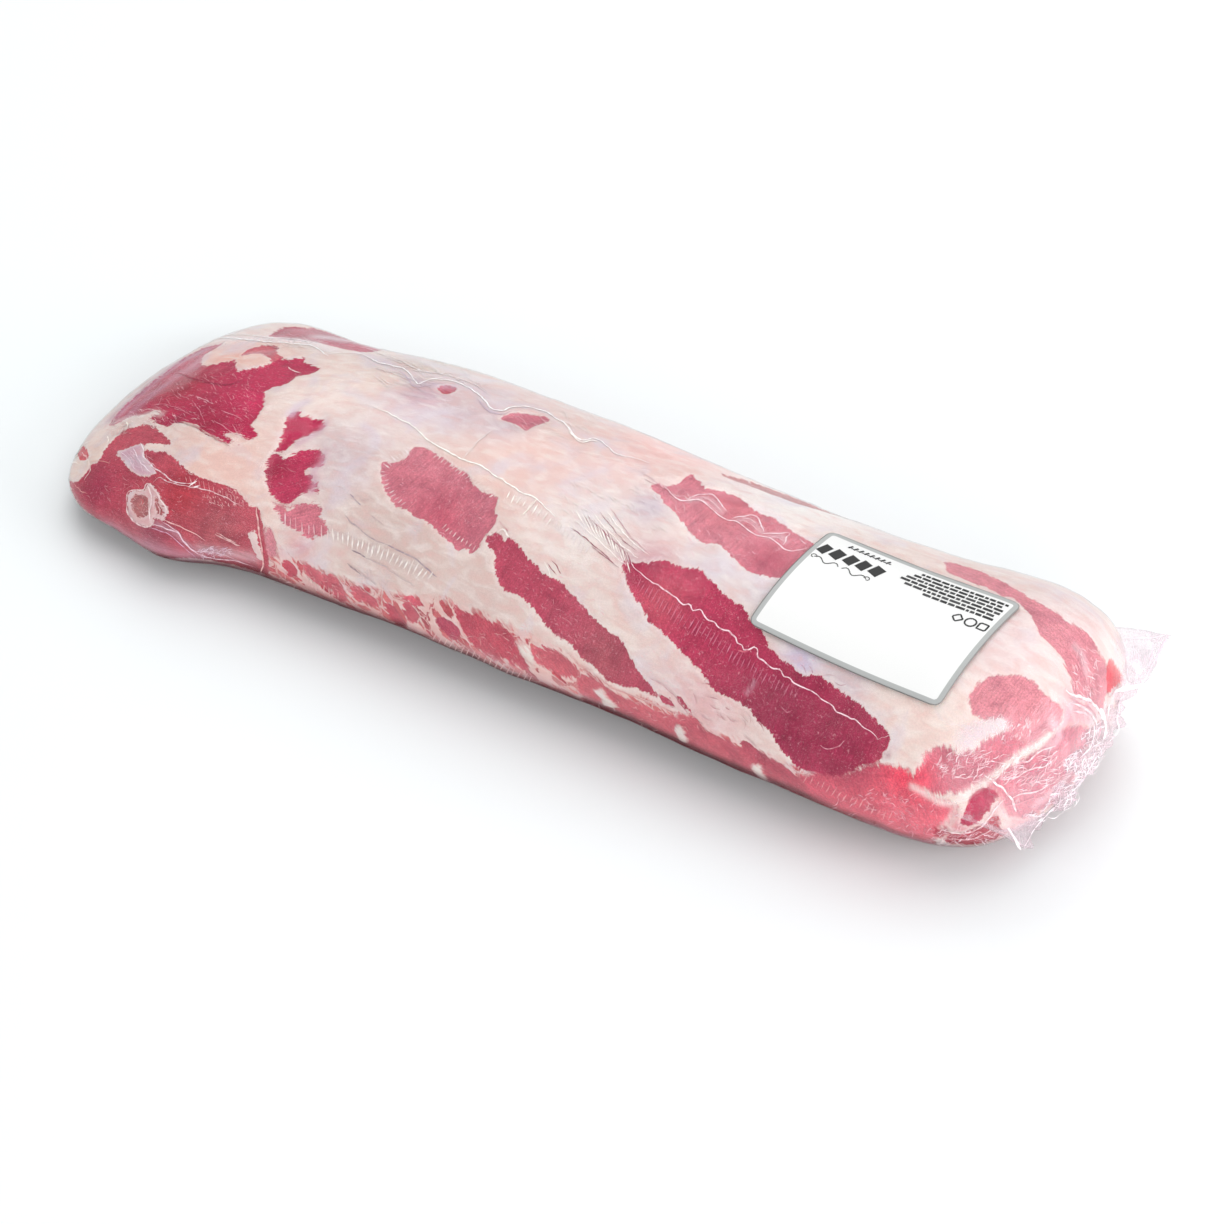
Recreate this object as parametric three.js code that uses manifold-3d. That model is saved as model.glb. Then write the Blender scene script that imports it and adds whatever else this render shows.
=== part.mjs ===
// A long boneless pork loin sealed in a clear vacuum bag, with a paper label on
// top and the bag's crumpled sealed tail hanging at one end.
// Millimetres, +Z up. +X runs along the loin to the tail, -Y is the front side,
// and the origin lies on the flat underside.

import * as THREE from 'three';
import { mergeVertices } from 'three/addons/utils/BufferGeometryUtils.js';
import Module from 'manifold-3d';

const wasm = await Module();
wasm.setup();

// ---- driving dimensions ---------------------------------------------------

const pack = {
  leftEnd: -285,                                  // x of the plain end
  rightEnd: 268.5,                                // x of the end under the tail
  // seven stations, evenly spaced from the left end to the right end
  front: [101, 87, 80, 78, 76, 77, 74],           // reach of the front side from the middle plane
  back: [110, 85, 86, 81, 73, 75, 88],            // reach of the back side
  height: [35, 63, 77, 85, 90, 93, 97],           // top above the floor
  leftRound: 85,                                  // length over which the left end rounds off
  rightRound: 70,
  leftFullness: 2.55,                             // 2 is an ellipse, more is blunter
  rightFullness: 2.8,
  widestAt: 0.4,                                  // share of the height where it is widest
  sidePower: 0.9,
  topPower: 1.1,
  bottomPower: 0.8,
  sag: 3,                                         // how far the round belly is pressed flat
  leftSlant: 4.5,                                 // plan slant of the ends, per 75 mm of width
  rightSlant: 3,
  slantWidth: 75,
  lobe: 8,                                        // bulge of the front side near the left end
  lobeAt: -191,
  lobeReach: 22,
  stepsAlong: 76,
  stepsRound: 48,
};

const tail = {
  // eight stations across the bag's seal, from the near corner to the far corner
  root: [                                         // where the film leaves the loin's end
    [238, -66, 40], [243, -50, 50], [250, -32, 55], [257, -13, 56],
    [260, 6, 56], [261, 26, 55], [256, 44, 57], [244, 60, 60],
  ],
  edge: [                                         // the free, cut edge
    [257, -47, 5], [262, -29, 13], [270, -12, 20], [276, 5, 25],
    [276, 24, 30], [272, 39, 37], [275, 54, 41], [272, 84, 48],
  ],
  thickness: 2.2,                                 // the two crumpled sheets of film together
  sink: 5,                                        // how far the root reaches into the loin
  arch: 0.12,                                     // how far the film swells out, as a share of its fall
  archLift: 0.6,                                  // upward part of that swell
  creaseDepth: 2.6,                               // height of the crumple
  creases: 9,                                     // large creases across the width
  crossCreases: 5.4,
  crossShare: 0.35,                               // share of the crumple that runs aslant
  crossRun: 7,                                    // how much those creases lean, in radians
  waver: 2.2,                                     // how unevenly the large creases are spaced
  rootCrumple: 0.35,                              // share of the crumple left at the root
  stepsAcross: 54,
  stepsDown: 7,
};

const label = {
  length: 100,
  width: 70,
  corner: 4,
  thickness: 0.4,
  lift: 0.35,                                     // clearance over the bag
  centreX: 167.8,
  centreArc: -12.9,                               // from the top line towards the front, along the skin
  turn: -4.6,                                     // degrees in plan
  stepsLong: 20,
  stepsWide: 14,
  arcSteps: 720,                                  // fineness with which the skin's length is walked
};

// ---- small tools ----------------------------------------------------------

const clamp01 = (v) => Math.min(Math.max(v, 0), 1);

// Smooth curve through evenly spaced values, read at u from 0 to 1.
function smoothThrough(values, u) {
  const spans = values.length - 1;
  const t = clamp01(u) * spans;
  const i = Math.min(Math.floor(t), spans - 1);
  const f = t - i;
  const a = i > 0 ? values[i - 1] : 2 * values[0] - values[1];
  const b = values[i];
  const c = values[i + 1];
  const d = i + 2 <= spans ? values[i + 2] : 2 * values[spans] - values[spans - 1];
  return b + 0.5 * f * (c - a + f * (2 * a - 5 * b + 4 * c - d + f * (3 * (b - c) + d - a)));
}

// Point through evenly spaced [x, y, z] stations.
function pointThrough(stations, u) {
  const axis = (k) => smoothThrough(stations.map((p) => p[k]), u);
  return new THREE.Vector3(axis(0), axis(1), axis(2));
}

// How full the section is at a distance from an end: 0 at the tip, 1 past the rounding.
function endFullness(distance, length, power) {
  const d = clamp01(distance / length);
  return Math.pow(Math.max(1 - Math.pow(1 - d, power), 0), 1 / power);
}

const signedPower = (v, power) => Math.sign(v) * Math.pow(Math.abs(v), power);

// ---- the loin in its bag --------------------------------------------------

// Skin of the pack at a station x and a section angle: 0 is the back side,
// 90 degrees the top, 180 the front side and 270 the underside.
function skin(x, angle) {
  const u = (x - pack.leftEnd) / (pack.rightEnd - pack.leftEnd);
  const full = endFullness(x - pack.leftEnd, pack.leftRound, pack.leftFullness)
    * endFullness(pack.rightEnd - x, pack.rightRound, pack.rightFullness);
  const bulge = pack.lobe * Math.exp(-(((x - pack.lobeAt) / pack.lobeReach) ** 2));
  const front = smoothThrough(pack.front, u) + bulge;
  const back = smoothThrough(pack.back, u);
  const height = smoothThrough(pack.height, u);
  const middle = (back - front) / 2;
  const halfWidth = (back + front) / 2 * full;
  const belt = pack.widestAt * height;
  const across = Math.cos(angle);
  const up = Math.sin(angle);
  const y = middle + halfWidth * signedPower(across, pack.sidePower);
  const z = up >= 0
    ? belt + (height - belt) * full * Math.pow(up, pack.topPower)
    : belt - (belt + pack.sag) * full * Math.pow(-up, pack.bottomPower);
  const slant = pack.leftSlant * clamp01(1 - 2 * u) ** 2 + pack.rightSlant * clamp01(2 * u - 1) ** 2;
  return new THREE.Vector3(x + slant * y / pack.slantWidth, y, Math.max(z, 0));
}

// A closed tube of rings between two tip points.
function closeRings(rings, firstTip, lastTip) {
  const round = rings[0].length;
  const points = [firstTip, ...rings.flat(), lastTip];
  const index = [];
  const at = (ring, k) => 1 + ring * round + (k % round);
  const last = points.length - 1;
  for (let k = 0; k < round; k += 1) {
    index.push(0, at(0, k + 1), at(0, k));
    index.push(last, at(rings.length - 1, k), at(rings.length - 1, k + 1));
    for (let ring = 0; ring < rings.length - 1; ring += 1) {
      const a = at(ring, k);
      const b = at(ring, k + 1);
      const c = at(ring + 1, k);
      const d = at(ring + 1, k + 1);
      index.push(a, b, d, a, d, c);
    }
  }
  return indexedGeometry(points, index);
}

function indexedGeometry(points, index) {
  const geometry = new THREE.BufferGeometry().setFromPoints(points);
  geometry.setIndex(index);
  return geometry;
}

function loinGeometry() {
  const middle = (pack.leftEnd + pack.rightEnd) / 2;
  const half = (pack.rightEnd - pack.leftEnd) / 2;
  const rings = [];
  for (let i = 1; i < pack.stepsAlong; i += 1) {
    const x = middle - half * Math.cos(Math.PI * i / pack.stepsAlong);
    const ring = [];
    for (let k = 0; k < pack.stepsRound; k += 1) {
      ring.push(skin(x, 2 * Math.PI * k / pack.stepsRound));
    }
    rings.push(ring);
  }
  return closeRings(rings, skin(pack.leftEnd, 0), skin(pack.rightEnd, 0));
}

// ---- the crumpled tail ----------------------------------------------------

// Height of the crumple at a share across the width and a share down the film.
function crumple(across, down) {
  const uneven = tail.waver * Math.sin(5 * across + 3 * down);
  const main = Math.sin(2 * Math.PI * tail.creases * across + uneven);
  const cross = Math.sin(2 * Math.PI * tail.crossCreases * across - tail.crossRun * down);
  const wave = (1 - tail.crossShare) * main + tail.crossShare * cross;
  return tail.creaseDepth * wave * (tail.rootCrumple + (1 - tail.rootCrumple) * down);
}

// Middle surface of the tail: straight lines from the root curve to the free edge.
function tailSheet(across, down) {
  const root = pointThrough(tail.root, across);
  const edge = pointThrough(tail.edge, across);
  const fall = edge.clone().sub(root);
  const inward = fall.clone().setLength(-tail.sink);
  const swell = tail.arch * Math.sin(Math.PI * down) * fall.length();
  const point = root.clone().add(inward).addScaledVector(fall.clone().sub(inward), down);
  return point.add(new THREE.Vector3(swell, 0, tail.archLift * swell));
}

function tailNormal(across, down) {
  const d = 0.01;
  const alongWidth = tailSheet(across + d, down).sub(tailSheet(across - d, down));
  const alongFall = tailSheet(across, down + d).sub(tailSheet(across, down - d));
  return alongFall.cross(alongWidth).normalize();
}

// A closed plate over a grid of points, each given with its outward normal.
function plateGeometry(columns, rows, pointAt, normalAt, below, above) {
  const outer = [];
  const inner = [];
  for (let j = 0; j <= rows; j += 1) {
    for (let i = 0; i <= columns; i += 1) {
      const point = pointAt(i / columns, j / rows);
      const normal = normalAt(i / columns, j / rows);
      outer.push(point.clone().addScaledVector(normal, above));
      inner.push(point.clone().addScaledVector(normal, below));
    }
  }
  const index = [];
  const wide = columns + 1;
  const under = outer.length;
  const wall = (a, b) => index.push(a, a + under, b + under, a, b + under, b);
  for (let j = 0; j < rows; j += 1) {
    for (let i = 0; i < columns; i += 1) {
      const a = j * wide + i;
      index.push(a, a + 1, a + wide + 1, a, a + wide + 1, a + wide);
      index.push(a + under, a + wide + 1 + under, a + 1 + under);
      index.push(a + under, a + wide + under, a + wide + 1 + under);
    }
    wall((j + 1) * wide - 1, (j + 2) * wide - 1);
    wall((j + 1) * wide, j * wide);
  }
  for (let i = 0; i < columns; i += 1) {
    wall(i, i + 1);
    wall(rows * wide + i + 1, rows * wide + i);
  }
  return facingOut(indexedGeometry([...outer, ...inner], index));
}

// Turns a closed mesh the right way round if its volume comes out negative.
function facingOut(geometry) {
  const p = geometry.attributes.position;
  const index = geometry.index.array;
  const corner = [new THREE.Vector3(), new THREE.Vector3(), new THREE.Vector3()];
  let volume = 0;
  for (let i = 0; i < index.length; i += 3) {
    corner.forEach((v, k) => v.fromBufferAttribute(p, index[i + k]));
    volume += corner[0].dot(corner[1].cross(corner[2]));
  }
  if (volume < 0) {
    index.reverse();
  }
  return geometry;
}

function tailGeometry() {
  const half = tail.thickness / 2;
  const crumpled = (across, down) => tailSheet(across, down)
    .addScaledVector(tailNormal(across, down), crumple(across, down));
  return plateGeometry(tail.stepsAcross, tail.stepsDown, crumpled, tailNormal, -half, half);
}

// ---- the label ------------------------------------------------------------

// Section angle at a signed distance along the skin from the top line, + to the back.
function angleAtArc(x, arc) {
  const step = Math.sign(arc) * -Math.PI / label.arcSteps;
  let angle = Math.PI / 2;
  let left = Math.abs(arc);
  let here = skin(x, angle);
  while (left > 0) {
    const next = skin(x, angle + step);
    const length = next.distanceTo(here);
    const share = Math.min(left / length, 1);
    angle += step * share;
    left -= length;
    here = next;
  }
  return angle;
}

function skinNormal(x, angle) {
  const reach = 1;
  const swing = 0.02;
  const along = skin(x + reach, angle).sub(skin(x - reach, angle));
  const round = skin(x, angle + swing).sub(skin(x, angle - swing));
  const normal = along.cross(round).normalize();
  return normal.z < 0 ? normal.negate() : normal;
}

// The label's own grid: its rows shorten near the long edges to round the corners.
function labelSpot(across, down) {
  const wide = (0.5 - down) * label.width;
  const straight = label.width / 2 - label.corner;
  const past = Math.max(Math.abs(wide) - straight, 0);
  const inset = label.corner - Math.sqrt(Math.max(label.corner ** 2 - past ** 2, 0));
  const long = (across - 0.5) * 2 * (label.length / 2 - inset);
  const turn = THREE.MathUtils.degToRad(label.turn);
  const x = label.centreX + long * Math.cos(turn) - wide * Math.sin(turn);
  const arc = label.centreArc + long * Math.sin(turn) + wide * Math.cos(turn);
  return { x, angle: angleAtArc(x, arc) };
}

function labelGeometry() {
  const pointAt = (across, down) => {
    const spot = labelSpot(across, down);
    return skin(spot.x, spot.angle);
  };
  const normalAt = (across, down) => {
    const spot = labelSpot(across, down);
    return skinNormal(spot.x, spot.angle);
  };
  const top = label.lift + label.thickness;
  return plateGeometry(label.stepsLong, label.stepsWide, pointAt, normalAt, label.lift, top);
}

// ---- joining and export ---------------------------------------------------

function toSolid(geometry) {
  geometry.deleteAttribute('normal');
  geometry.deleteAttribute('uv');
  const merged = mergeVertices(geometry, 1e-4);
  return new wasm.Manifold(new wasm.Mesh({
    numProp: 3,
    vertProperties: Float32Array.from(merged.attributes.position.array),
    triVerts: Uint32Array.from(merged.index.array),
  }));
}

function fromSolid(solid) {
  const mesh = solid.getMesh();
  const geometry = new THREE.BufferGeometry();
  geometry.setAttribute('position', new THREE.Float32BufferAttribute(mesh.vertProperties, 3));
  geometry.setIndex(Array.from(mesh.triVerts));
  geometry.computeVertexNormals();
  return geometry;
}

function namedMesh(name, geometry, color, roughness) {
  const material = new THREE.MeshStandardMaterial({ color, roughness, metalness: 0 });
  const mesh = new THREE.Mesh(geometry, material);
  mesh.name = name;
  return mesh;
}

const bag = toSolid(loinGeometry()).add(toSolid(tailGeometry()));

const porkLoinPack = new THREE.Group();
porkLoinPack.add(namedMesh('sealed_bag', fromSolid(bag), 0xe9a9ad, 0.3));
porkLoinPack.add(namedMesh('label', labelGeometry(), 0xf4f4f2, 0.5));

export default porkLoinPack;
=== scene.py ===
import bpy
import numpy as np
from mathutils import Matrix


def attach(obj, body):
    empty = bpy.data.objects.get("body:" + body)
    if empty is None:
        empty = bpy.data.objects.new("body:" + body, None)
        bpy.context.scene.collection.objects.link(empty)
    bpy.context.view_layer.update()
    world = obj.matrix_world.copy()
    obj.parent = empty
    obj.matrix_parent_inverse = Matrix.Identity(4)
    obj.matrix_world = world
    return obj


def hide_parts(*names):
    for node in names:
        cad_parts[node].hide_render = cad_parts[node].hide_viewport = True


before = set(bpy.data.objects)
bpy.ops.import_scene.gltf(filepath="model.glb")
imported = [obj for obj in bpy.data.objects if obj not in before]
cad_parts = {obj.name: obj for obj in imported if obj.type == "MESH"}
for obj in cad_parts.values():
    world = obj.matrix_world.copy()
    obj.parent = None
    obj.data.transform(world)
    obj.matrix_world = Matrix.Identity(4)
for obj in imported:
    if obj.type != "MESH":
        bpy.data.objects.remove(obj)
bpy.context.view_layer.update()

# Whole boneless pork loin in a clear vacuum bag. Lengths are millimetres until a mesh is made.
# +X runs along the loin to the crumpled tail of the bag, -Y is the front, +Z is up.
metre = 0.001

# The photo's view.

photoView = {
    "azimuth": 31.4,        # degrees round the pack, from the front towards the tail
    "elevation": 43.3,
    "distance": 1385.0,
    "target": (34.9, -32.2, 40.0),
    "lens": 85.0,
    "sensor": 36.0,
    "picture": 1224,        # pixels along each side of the picture
}


def viewAxes():
    # Eye, right, up and back directions of the camera, from its two angles and its distance.
    turn, lift = np.radians([photoView["azimuth"], photoView["elevation"]])
    back = np.array([np.sin(turn) * np.cos(lift), -np.cos(turn) * np.cos(lift), np.sin(lift)])
    right = np.array([np.cos(turn), np.sin(turn), 0.0])
    eye = np.array(photoView["target"]) + back * photoView["distance"]
    return eye, right, np.cross(back, right), back


eye, viewRight, viewUp, viewBack = viewAxes()
focal = photoView["lens"] / photoView["sensor"] * photoView["picture"]


def toPicture(points):
    # Perspective: sideways and upward offsets from the eye, over depth, times the focal length.
    ray = points - eye
    depth = -(ray @ viewBack)
    half = photoView["picture"] / 2
    return np.stack([half + focal * (ray @ viewRight) / depth, half - focal * (ray @ viewUp) / depth], -1)


def pictureRay(pixels):
    # Direction from the eye through each pixel.
    half = photoView["picture"] / 2
    sideways = (pixels[:, :1] - half) / focal
    upward = -(pixels[:, 1:] - half) / focal
    ray = sideways * viewRight + upward * viewUp - viewBack
    return ray / np.linalg.norm(ray, axis=1, keepdims=True)


# Small tools.


def hexLinear(code):
    # sRGB hex to the linear colour that Blender's sockets take.
    srgb = np.array([int(code[i:i + 2], 16) for i in (1, 3, 5)]) / 255
    linear = np.where(srgb <= 0.04045, srgb / 12.92, ((srgb + 0.055) / 1.055) ** 2.4)
    return (*(float(c) for c in linear), 1.0)


def smoothThrough(values, share):
    # Catmull-Rom curve through evenly spaced values, read at a share from 0 to 1.
    values = np.asarray(values, float)
    spans = len(values) - 1
    place = np.clip(share, 0, 1) * spans
    i = np.minimum(place.astype(int), spans - 1)
    f = place - i
    padded = np.concatenate([[2 * values[0] - values[1]], values, [2 * values[-1] - values[-2]]])
    if values.ndim > 1:
        f = f[..., None]
    a, b, c, d = padded[i], padded[i + 1], padded[i + 2], padded[i + 3]
    return b + 0.5 * f * (c - a + f * (2 * a - 5 * b + 4 * c - d + f * (3 * (b - c) + d - a)))


def softNoise(points, size, seed):
    # Value noise from -1 to 1: random values on a lattice with cells of the given size in mm,
    # blended smoothly between the eight corners round each point.
    cells = 32
    table = np.random.default_rng(seed).random((cells, cells, cells)) * 2 - 1
    place = points / size
    corner = np.floor(place).astype(int)
    f = place - corner
    f = f * f * (3 - 2 * f)
    total = 0
    for step in np.ndindex(2, 2, 2):
        weight = np.prod(np.where(np.array(step) == 1, f, 1 - f), axis=-1)
        x, y, z = np.moveaxis((corner + step) % cells, -1, 0)
        total = total + weight * table[x, y, z]
    return total


def smoothStep(low, high, values):
    t = np.clip((values - low) / (high - low), 0, 1)
    return t * t * (3 - 2 * t)


def makePiece(name, points, faces, material):
    mesh = bpy.data.meshes.new(name)
    mesh.from_pydata((points * metre).tolist(), [], faces)
    mesh.update()
    mesh.polygons.foreach_set("use_smooth", np.ones(len(mesh.polygons), bool))
    mesh.materials.append(material)
    piece = bpy.data.objects.new(name, mesh)
    bpy.context.scene.collection.objects.link(piece)
    return piece


def giveAttribute(piece, name, values):
    kinds = {1: ("FLOAT", "value"), 3: ("FLOAT_VECTOR", "vector"), 4: ("FLOAT_COLOR", "color")}
    width = 1 if values.ndim == 1 else values.shape[1]
    kind, field = kinds[width]
    layer = piece.data.attributes.new(name, kind, "POINT")
    layer.data.foreach_set(field, np.ascontiguousarray(values, np.float32).ravel())


def tubeFaces(rings, around):
    # Quads between closed rings, then fans to two tip points stored after the rings.
    here = np.arange(around)
    after = (here + 1) % around
    start = np.arange(rings - 1)[:, None] * around
    quads = np.stack([start + here, start + after, start + around + after, start + around + here], -1)
    firstTip = rings * around
    lastRing = (rings - 1) * around
    fans = [np.stack([after, here, np.full(around, firstTip)], -1)]
    fans.append(np.stack([lastRing + here, lastRing + after, np.full(around, firstTip + 1)], -1))
    return quads.reshape(-1, 4).tolist() + np.concatenate(fans).tolist()


def addNode(tree, kind, inputs=None, **settings):
    # Adds a shader node, sets its settings, and gives each input a value or a link.
    made = tree.nodes.new("ShaderNode" + kind)
    for name, value in settings.items():
        setattr(made, name, value)
    for key, value in (inputs or {}).items():
        if isinstance(value, bpy.types.NodeSocket):
            tree.links.new(value, made.inputs[key])
        else:
            made.inputs[key].default_value = value
    return made


def newMaterial(name):
    material = bpy.data.materials.new(name)
    material.use_nodes = True
    material.node_tree.nodes.clear()
    return material, material.node_tree


# The form of the loin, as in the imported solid.

loinForm = {
    "ends": (-285.0, 268.5),
    "front": [101, 87, 80, 78, 76, 77, 74],     # reach to the front, at even stations
    "back": [110, 85, 86, 81, 73, 75, 88],
    "height": [35, 63, 77, 85, 90, 93, 97],
    "rounding": (85.0, 70.0),                   # length over which each end rounds off
    "fullness": (2.55, 2.8),
    "widestAt": 0.4,
    "powers": (0.9, 1.1, 0.8),                  # side, top and bottom of the section
    "sag": 3.0,
    "slant": (4.5, 3.0),
    "slantWidth": 75.0,
    "lobe": (8.0, -191.0, 22.0),                # height, place and reach of the front bulge
    "rings": 440,
    "around": 216,
    "settle": (30.0, 0.75, -235.0, -185.0),     # height and share by which the low rim sags, and from where
}


def loinSkin(x, angle):
    # A superellipse section: half width and height follow smooth curves through the stations,
    # both shrink to a point over the rounding at each end, and the belly is pressed flat on the floor.
    # The angle is 0 at the back side, 90 degrees on top and 180 degrees at the front.
    form = loinForm
    x, angle = np.broadcast_arrays(np.asarray(x, float), np.asarray(angle, float))
    start, end = form["ends"]
    share = (x - start) / (end - start)
    nearStart = np.clip((x - start) / form["rounding"][0], 0, 1)
    nearEnd = np.clip((end - x) / form["rounding"][1], 0, 1)
    fullStart, fullEnd = form["fullness"]
    full = (1 - (1 - nearStart) ** fullStart) ** (1 / fullStart)
    full = full * (1 - (1 - nearEnd) ** fullEnd) ** (1 / fullEnd)
    bulge, bulgeAt, bulgeReach = form["lobe"]
    front = smoothThrough(form["front"], share) + bulge * np.exp(-((x - bulgeAt) / bulgeReach) ** 2)
    back = smoothThrough(form["back"], share)
    height = smoothThrough(form["height"], share)
    belt = form["widestAt"] * height
    sidePower, topPower, bottomPower = form["powers"]
    across, up = np.cos(angle), np.sin(angle)
    y = (back - front) / 2 + (back + front) / 2 * full * np.sign(across) * np.abs(across) ** sidePower
    above = belt + (height - belt) * full * np.abs(up) ** topPower
    below = belt - (belt + form["sag"]) * full * np.abs(up) ** bottomPower
    slant = form["slant"][0] * np.clip(1 - 2 * share, 0, 1) ** 2
    slant = slant + form["slant"][1] * np.clip(2 * share - 1, 0, 1) ** 2
    z = np.maximum(np.where(up >= 0, above, below), 0)
    reach, depth, sagFrom, sagFull = form["settle"]
    z = z * (1 - depth * smoothStep(sagFrom, sagFull, x) * np.clip(1 - z / reach, 0, 1) ** 2)
    return np.stack([x + slant * y / form["slantWidth"], y, z], -1)


def evenStations(count):
    # Stations spaced evenly along the skin from tip to tip, so that the round ends get enough rings.
    start, end = loinForm["ends"]
    x = (start + end) / 2 - (end - start) / 2 * np.cos(np.linspace(0, np.pi, 4001))
    walked = 0
    for angle in (np.pi / 2, np.pi):
        steps = np.linalg.norm(np.diff(loinSkin(x, angle), axis=0), axis=1)
        walked = walked + np.concatenate([[0], np.cumsum(steps)])
    return np.interp(np.linspace(0, walked[-1], count + 2)[1:-1], walked, x)


def gridNormals(points, outwards):
    # Cross product of the steps along and round a grid whose rows close on themselves.
    along = np.gradient(points, axis=0)
    round_ = np.roll(points, -1, axis=1) - np.roll(points, 1, axis=1)
    normal = np.cross(along, round_)
    normal = normal / np.maximum(np.linalg.norm(normal, axis=-1, keepdims=True), 1e-9)
    flip = np.sign(np.sum(normal * outwards, axis=-1, keepdims=True))
    return normal * np.where(flip == 0, 1, flip)


rings, around = loinForm["rings"], loinForm["around"]
stations = evenStations(rings)
angles = -np.pi / 2 + 2 * np.pi * np.arange(around) / around
skinGrid = loinSkin(stations[:, None], angles[None, :])
sectionMiddle = skinGrid.mean(axis=1, keepdims=True)
normalGrid = gridNormals(skinGrid, skinGrid - sectionMiddle)
skinPoints = skinGrid.reshape(-1, 3)
skinNormals = normalGrid.reshape(-1, 3)


def skinChart():
    # Each point's place on the unrolled skin: station along, and length from the top line, + to the back.
    steps = np.linalg.norm(np.diff(skinGrid, axis=1), axis=2)
    walked = np.concatenate([np.zeros((rings, 1)), np.cumsum(steps, axis=1)], axis=1)
    top = np.argmin(np.abs(angles - np.pi / 2))
    arc = walked[:, top:top + 1] - walked
    return np.stack([np.broadcast_to(stations[:, None], arc.shape), arc], -1).reshape(-1, 2)


def makeSurface(points, normals, under=None):
    # The part of a surface that faces the eye, sorted by picture x, so that lines can be laid on it:
    # points, normals, picture places and the colour seen there.
    seen = np.flatnonzero(np.sum(normals * (eye - points), axis=1) > 0)
    places = toPicture(points[seen])
    order = np.argsort(places[:, 0])
    seen = seen[order]
    return points[seen], normals[seen], places[order], None if under is None else under[seen]


chart = skinChart()
skinSurface = makeSurface(skinPoints, skinNormals)
picture = toPicture(skinPoints)
facing = np.sum(skinNormals * (eye - skinPoints), axis=1) > 0
print("loin grid", rings, "x", around)


def smoothOutline(corners, closed, perSpan=6):
    # Catmull-Rom curve through the corners, as dense picture points.
    corners = np.array(corners, float)
    if closed:
        corners = np.concatenate([corners[-2:], corners, corners[:3]])
    spans = len(corners) - 1
    share = np.linspace(0, 1, spans * perSpan + 1)
    curve = smoothThrough(corners, share)
    return curve[2 * perSpan:-2 * perSpan - 1] if closed else curve


def nearestSeen(pixels, surface=skinSurface):
    # Which visible point of a surface lies nearest to each picture point.
    places = surface[2]
    low, high = pixels.min(0) - 12, pixels.max(0) + 12
    first, last = np.searchsorted(places[:, 0], (low[0], high[0]))
    near = first + np.flatnonzero((places[first:last, 1] > low[1]) & (places[first:last, 1] < high[1]))
    gap = ((places[near][None, :, :] - pixels[:, None, :]) ** 2).sum(-1)
    return near[np.argmin(gap, axis=1)]


def onSkin(pixels, surface=skinSurface):
    # Where each picture point lies on the visible skin: the ray meets the tangent plane of the nearest
    # skin point. Points off the pack, or grazing it, stay at that nearest skin point.
    nearest = nearestSeen(pixels, surface)
    point, normal = surface[0][nearest], surface[1][nearest]
    ray = pictureRay(pixels)
    slope = np.sum(ray * normal, axis=1)
    reach = np.sum((point - eye) * normal, axis=1) / np.minimum(slope, -0.05)
    hit = eye + ray * reach[:, None]
    near = (np.linalg.norm(hit - point, axis=1) < 6) & (slope < -0.05)
    return np.where(near[:, None], hit, point), normal


def insideOutline(outline, points):
    # Even-odd rule: how many outline edges a line to the right crosses.
    x, y = points[:, 0], points[:, 1]
    inside = np.zeros(len(points), bool)
    for (x0, y0), (x1, y1) in zip(outline, np.roll(outline, -1, axis=0)):
        if y0 == y1:
            continue
        crosses = ((y0 > y) != (y1 > y)) & (x < (x1 - x0) * (y - y0) / (y1 - y0) + x0)
        inside ^= crosses
    return inside


farAway = -60.0


def outlineDistance(corners):
    # Distance in mm from each skin point to an outline drawn on the picture, + inside it.
    outline = smoothOutline(corners, closed=True)
    rim, _ = onSkin(outline)
    low, high = rim.min(0) - 30, rim.max(0) + 30
    near = np.flatnonzero(np.all((skinPoints > low) & (skinPoints < high), axis=1))
    distance = np.full(len(skinPoints), farAway)
    for part in np.array_split(near, max(1, len(near) // 4000)):
        gap = np.linalg.norm(skinPoints[part][:, None, :] - rim[None, :, :], axis=2).min(axis=1)
        distance[part] = -gap
    inside = insideOutline(outline, picture) & facing
    distance[inside] = -distance[inside]
    return distance


def strokeShare(corners, width):
    # 1 along a line drawn on the picture, falling off as a bell curve of the given width in mm.
    path, _ = onSkin(smoothOutline(corners, closed=False))
    low, high = path.min(0) - 3 * width, path.max(0) + 3 * width
    near = np.flatnonzero(np.all((skinPoints > low) & (skinPoints < high), axis=1))
    share = np.zeros(len(skinPoints))
    for part in np.array_split(near, max(1, len(near) // 4000)):
        gap = np.linalg.norm(skinPoints[part][:, None, :] - path[None, :, :], axis=2).min(axis=1)
        share[part] = np.exp(-(gap / width) ** 2)
    return share


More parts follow.
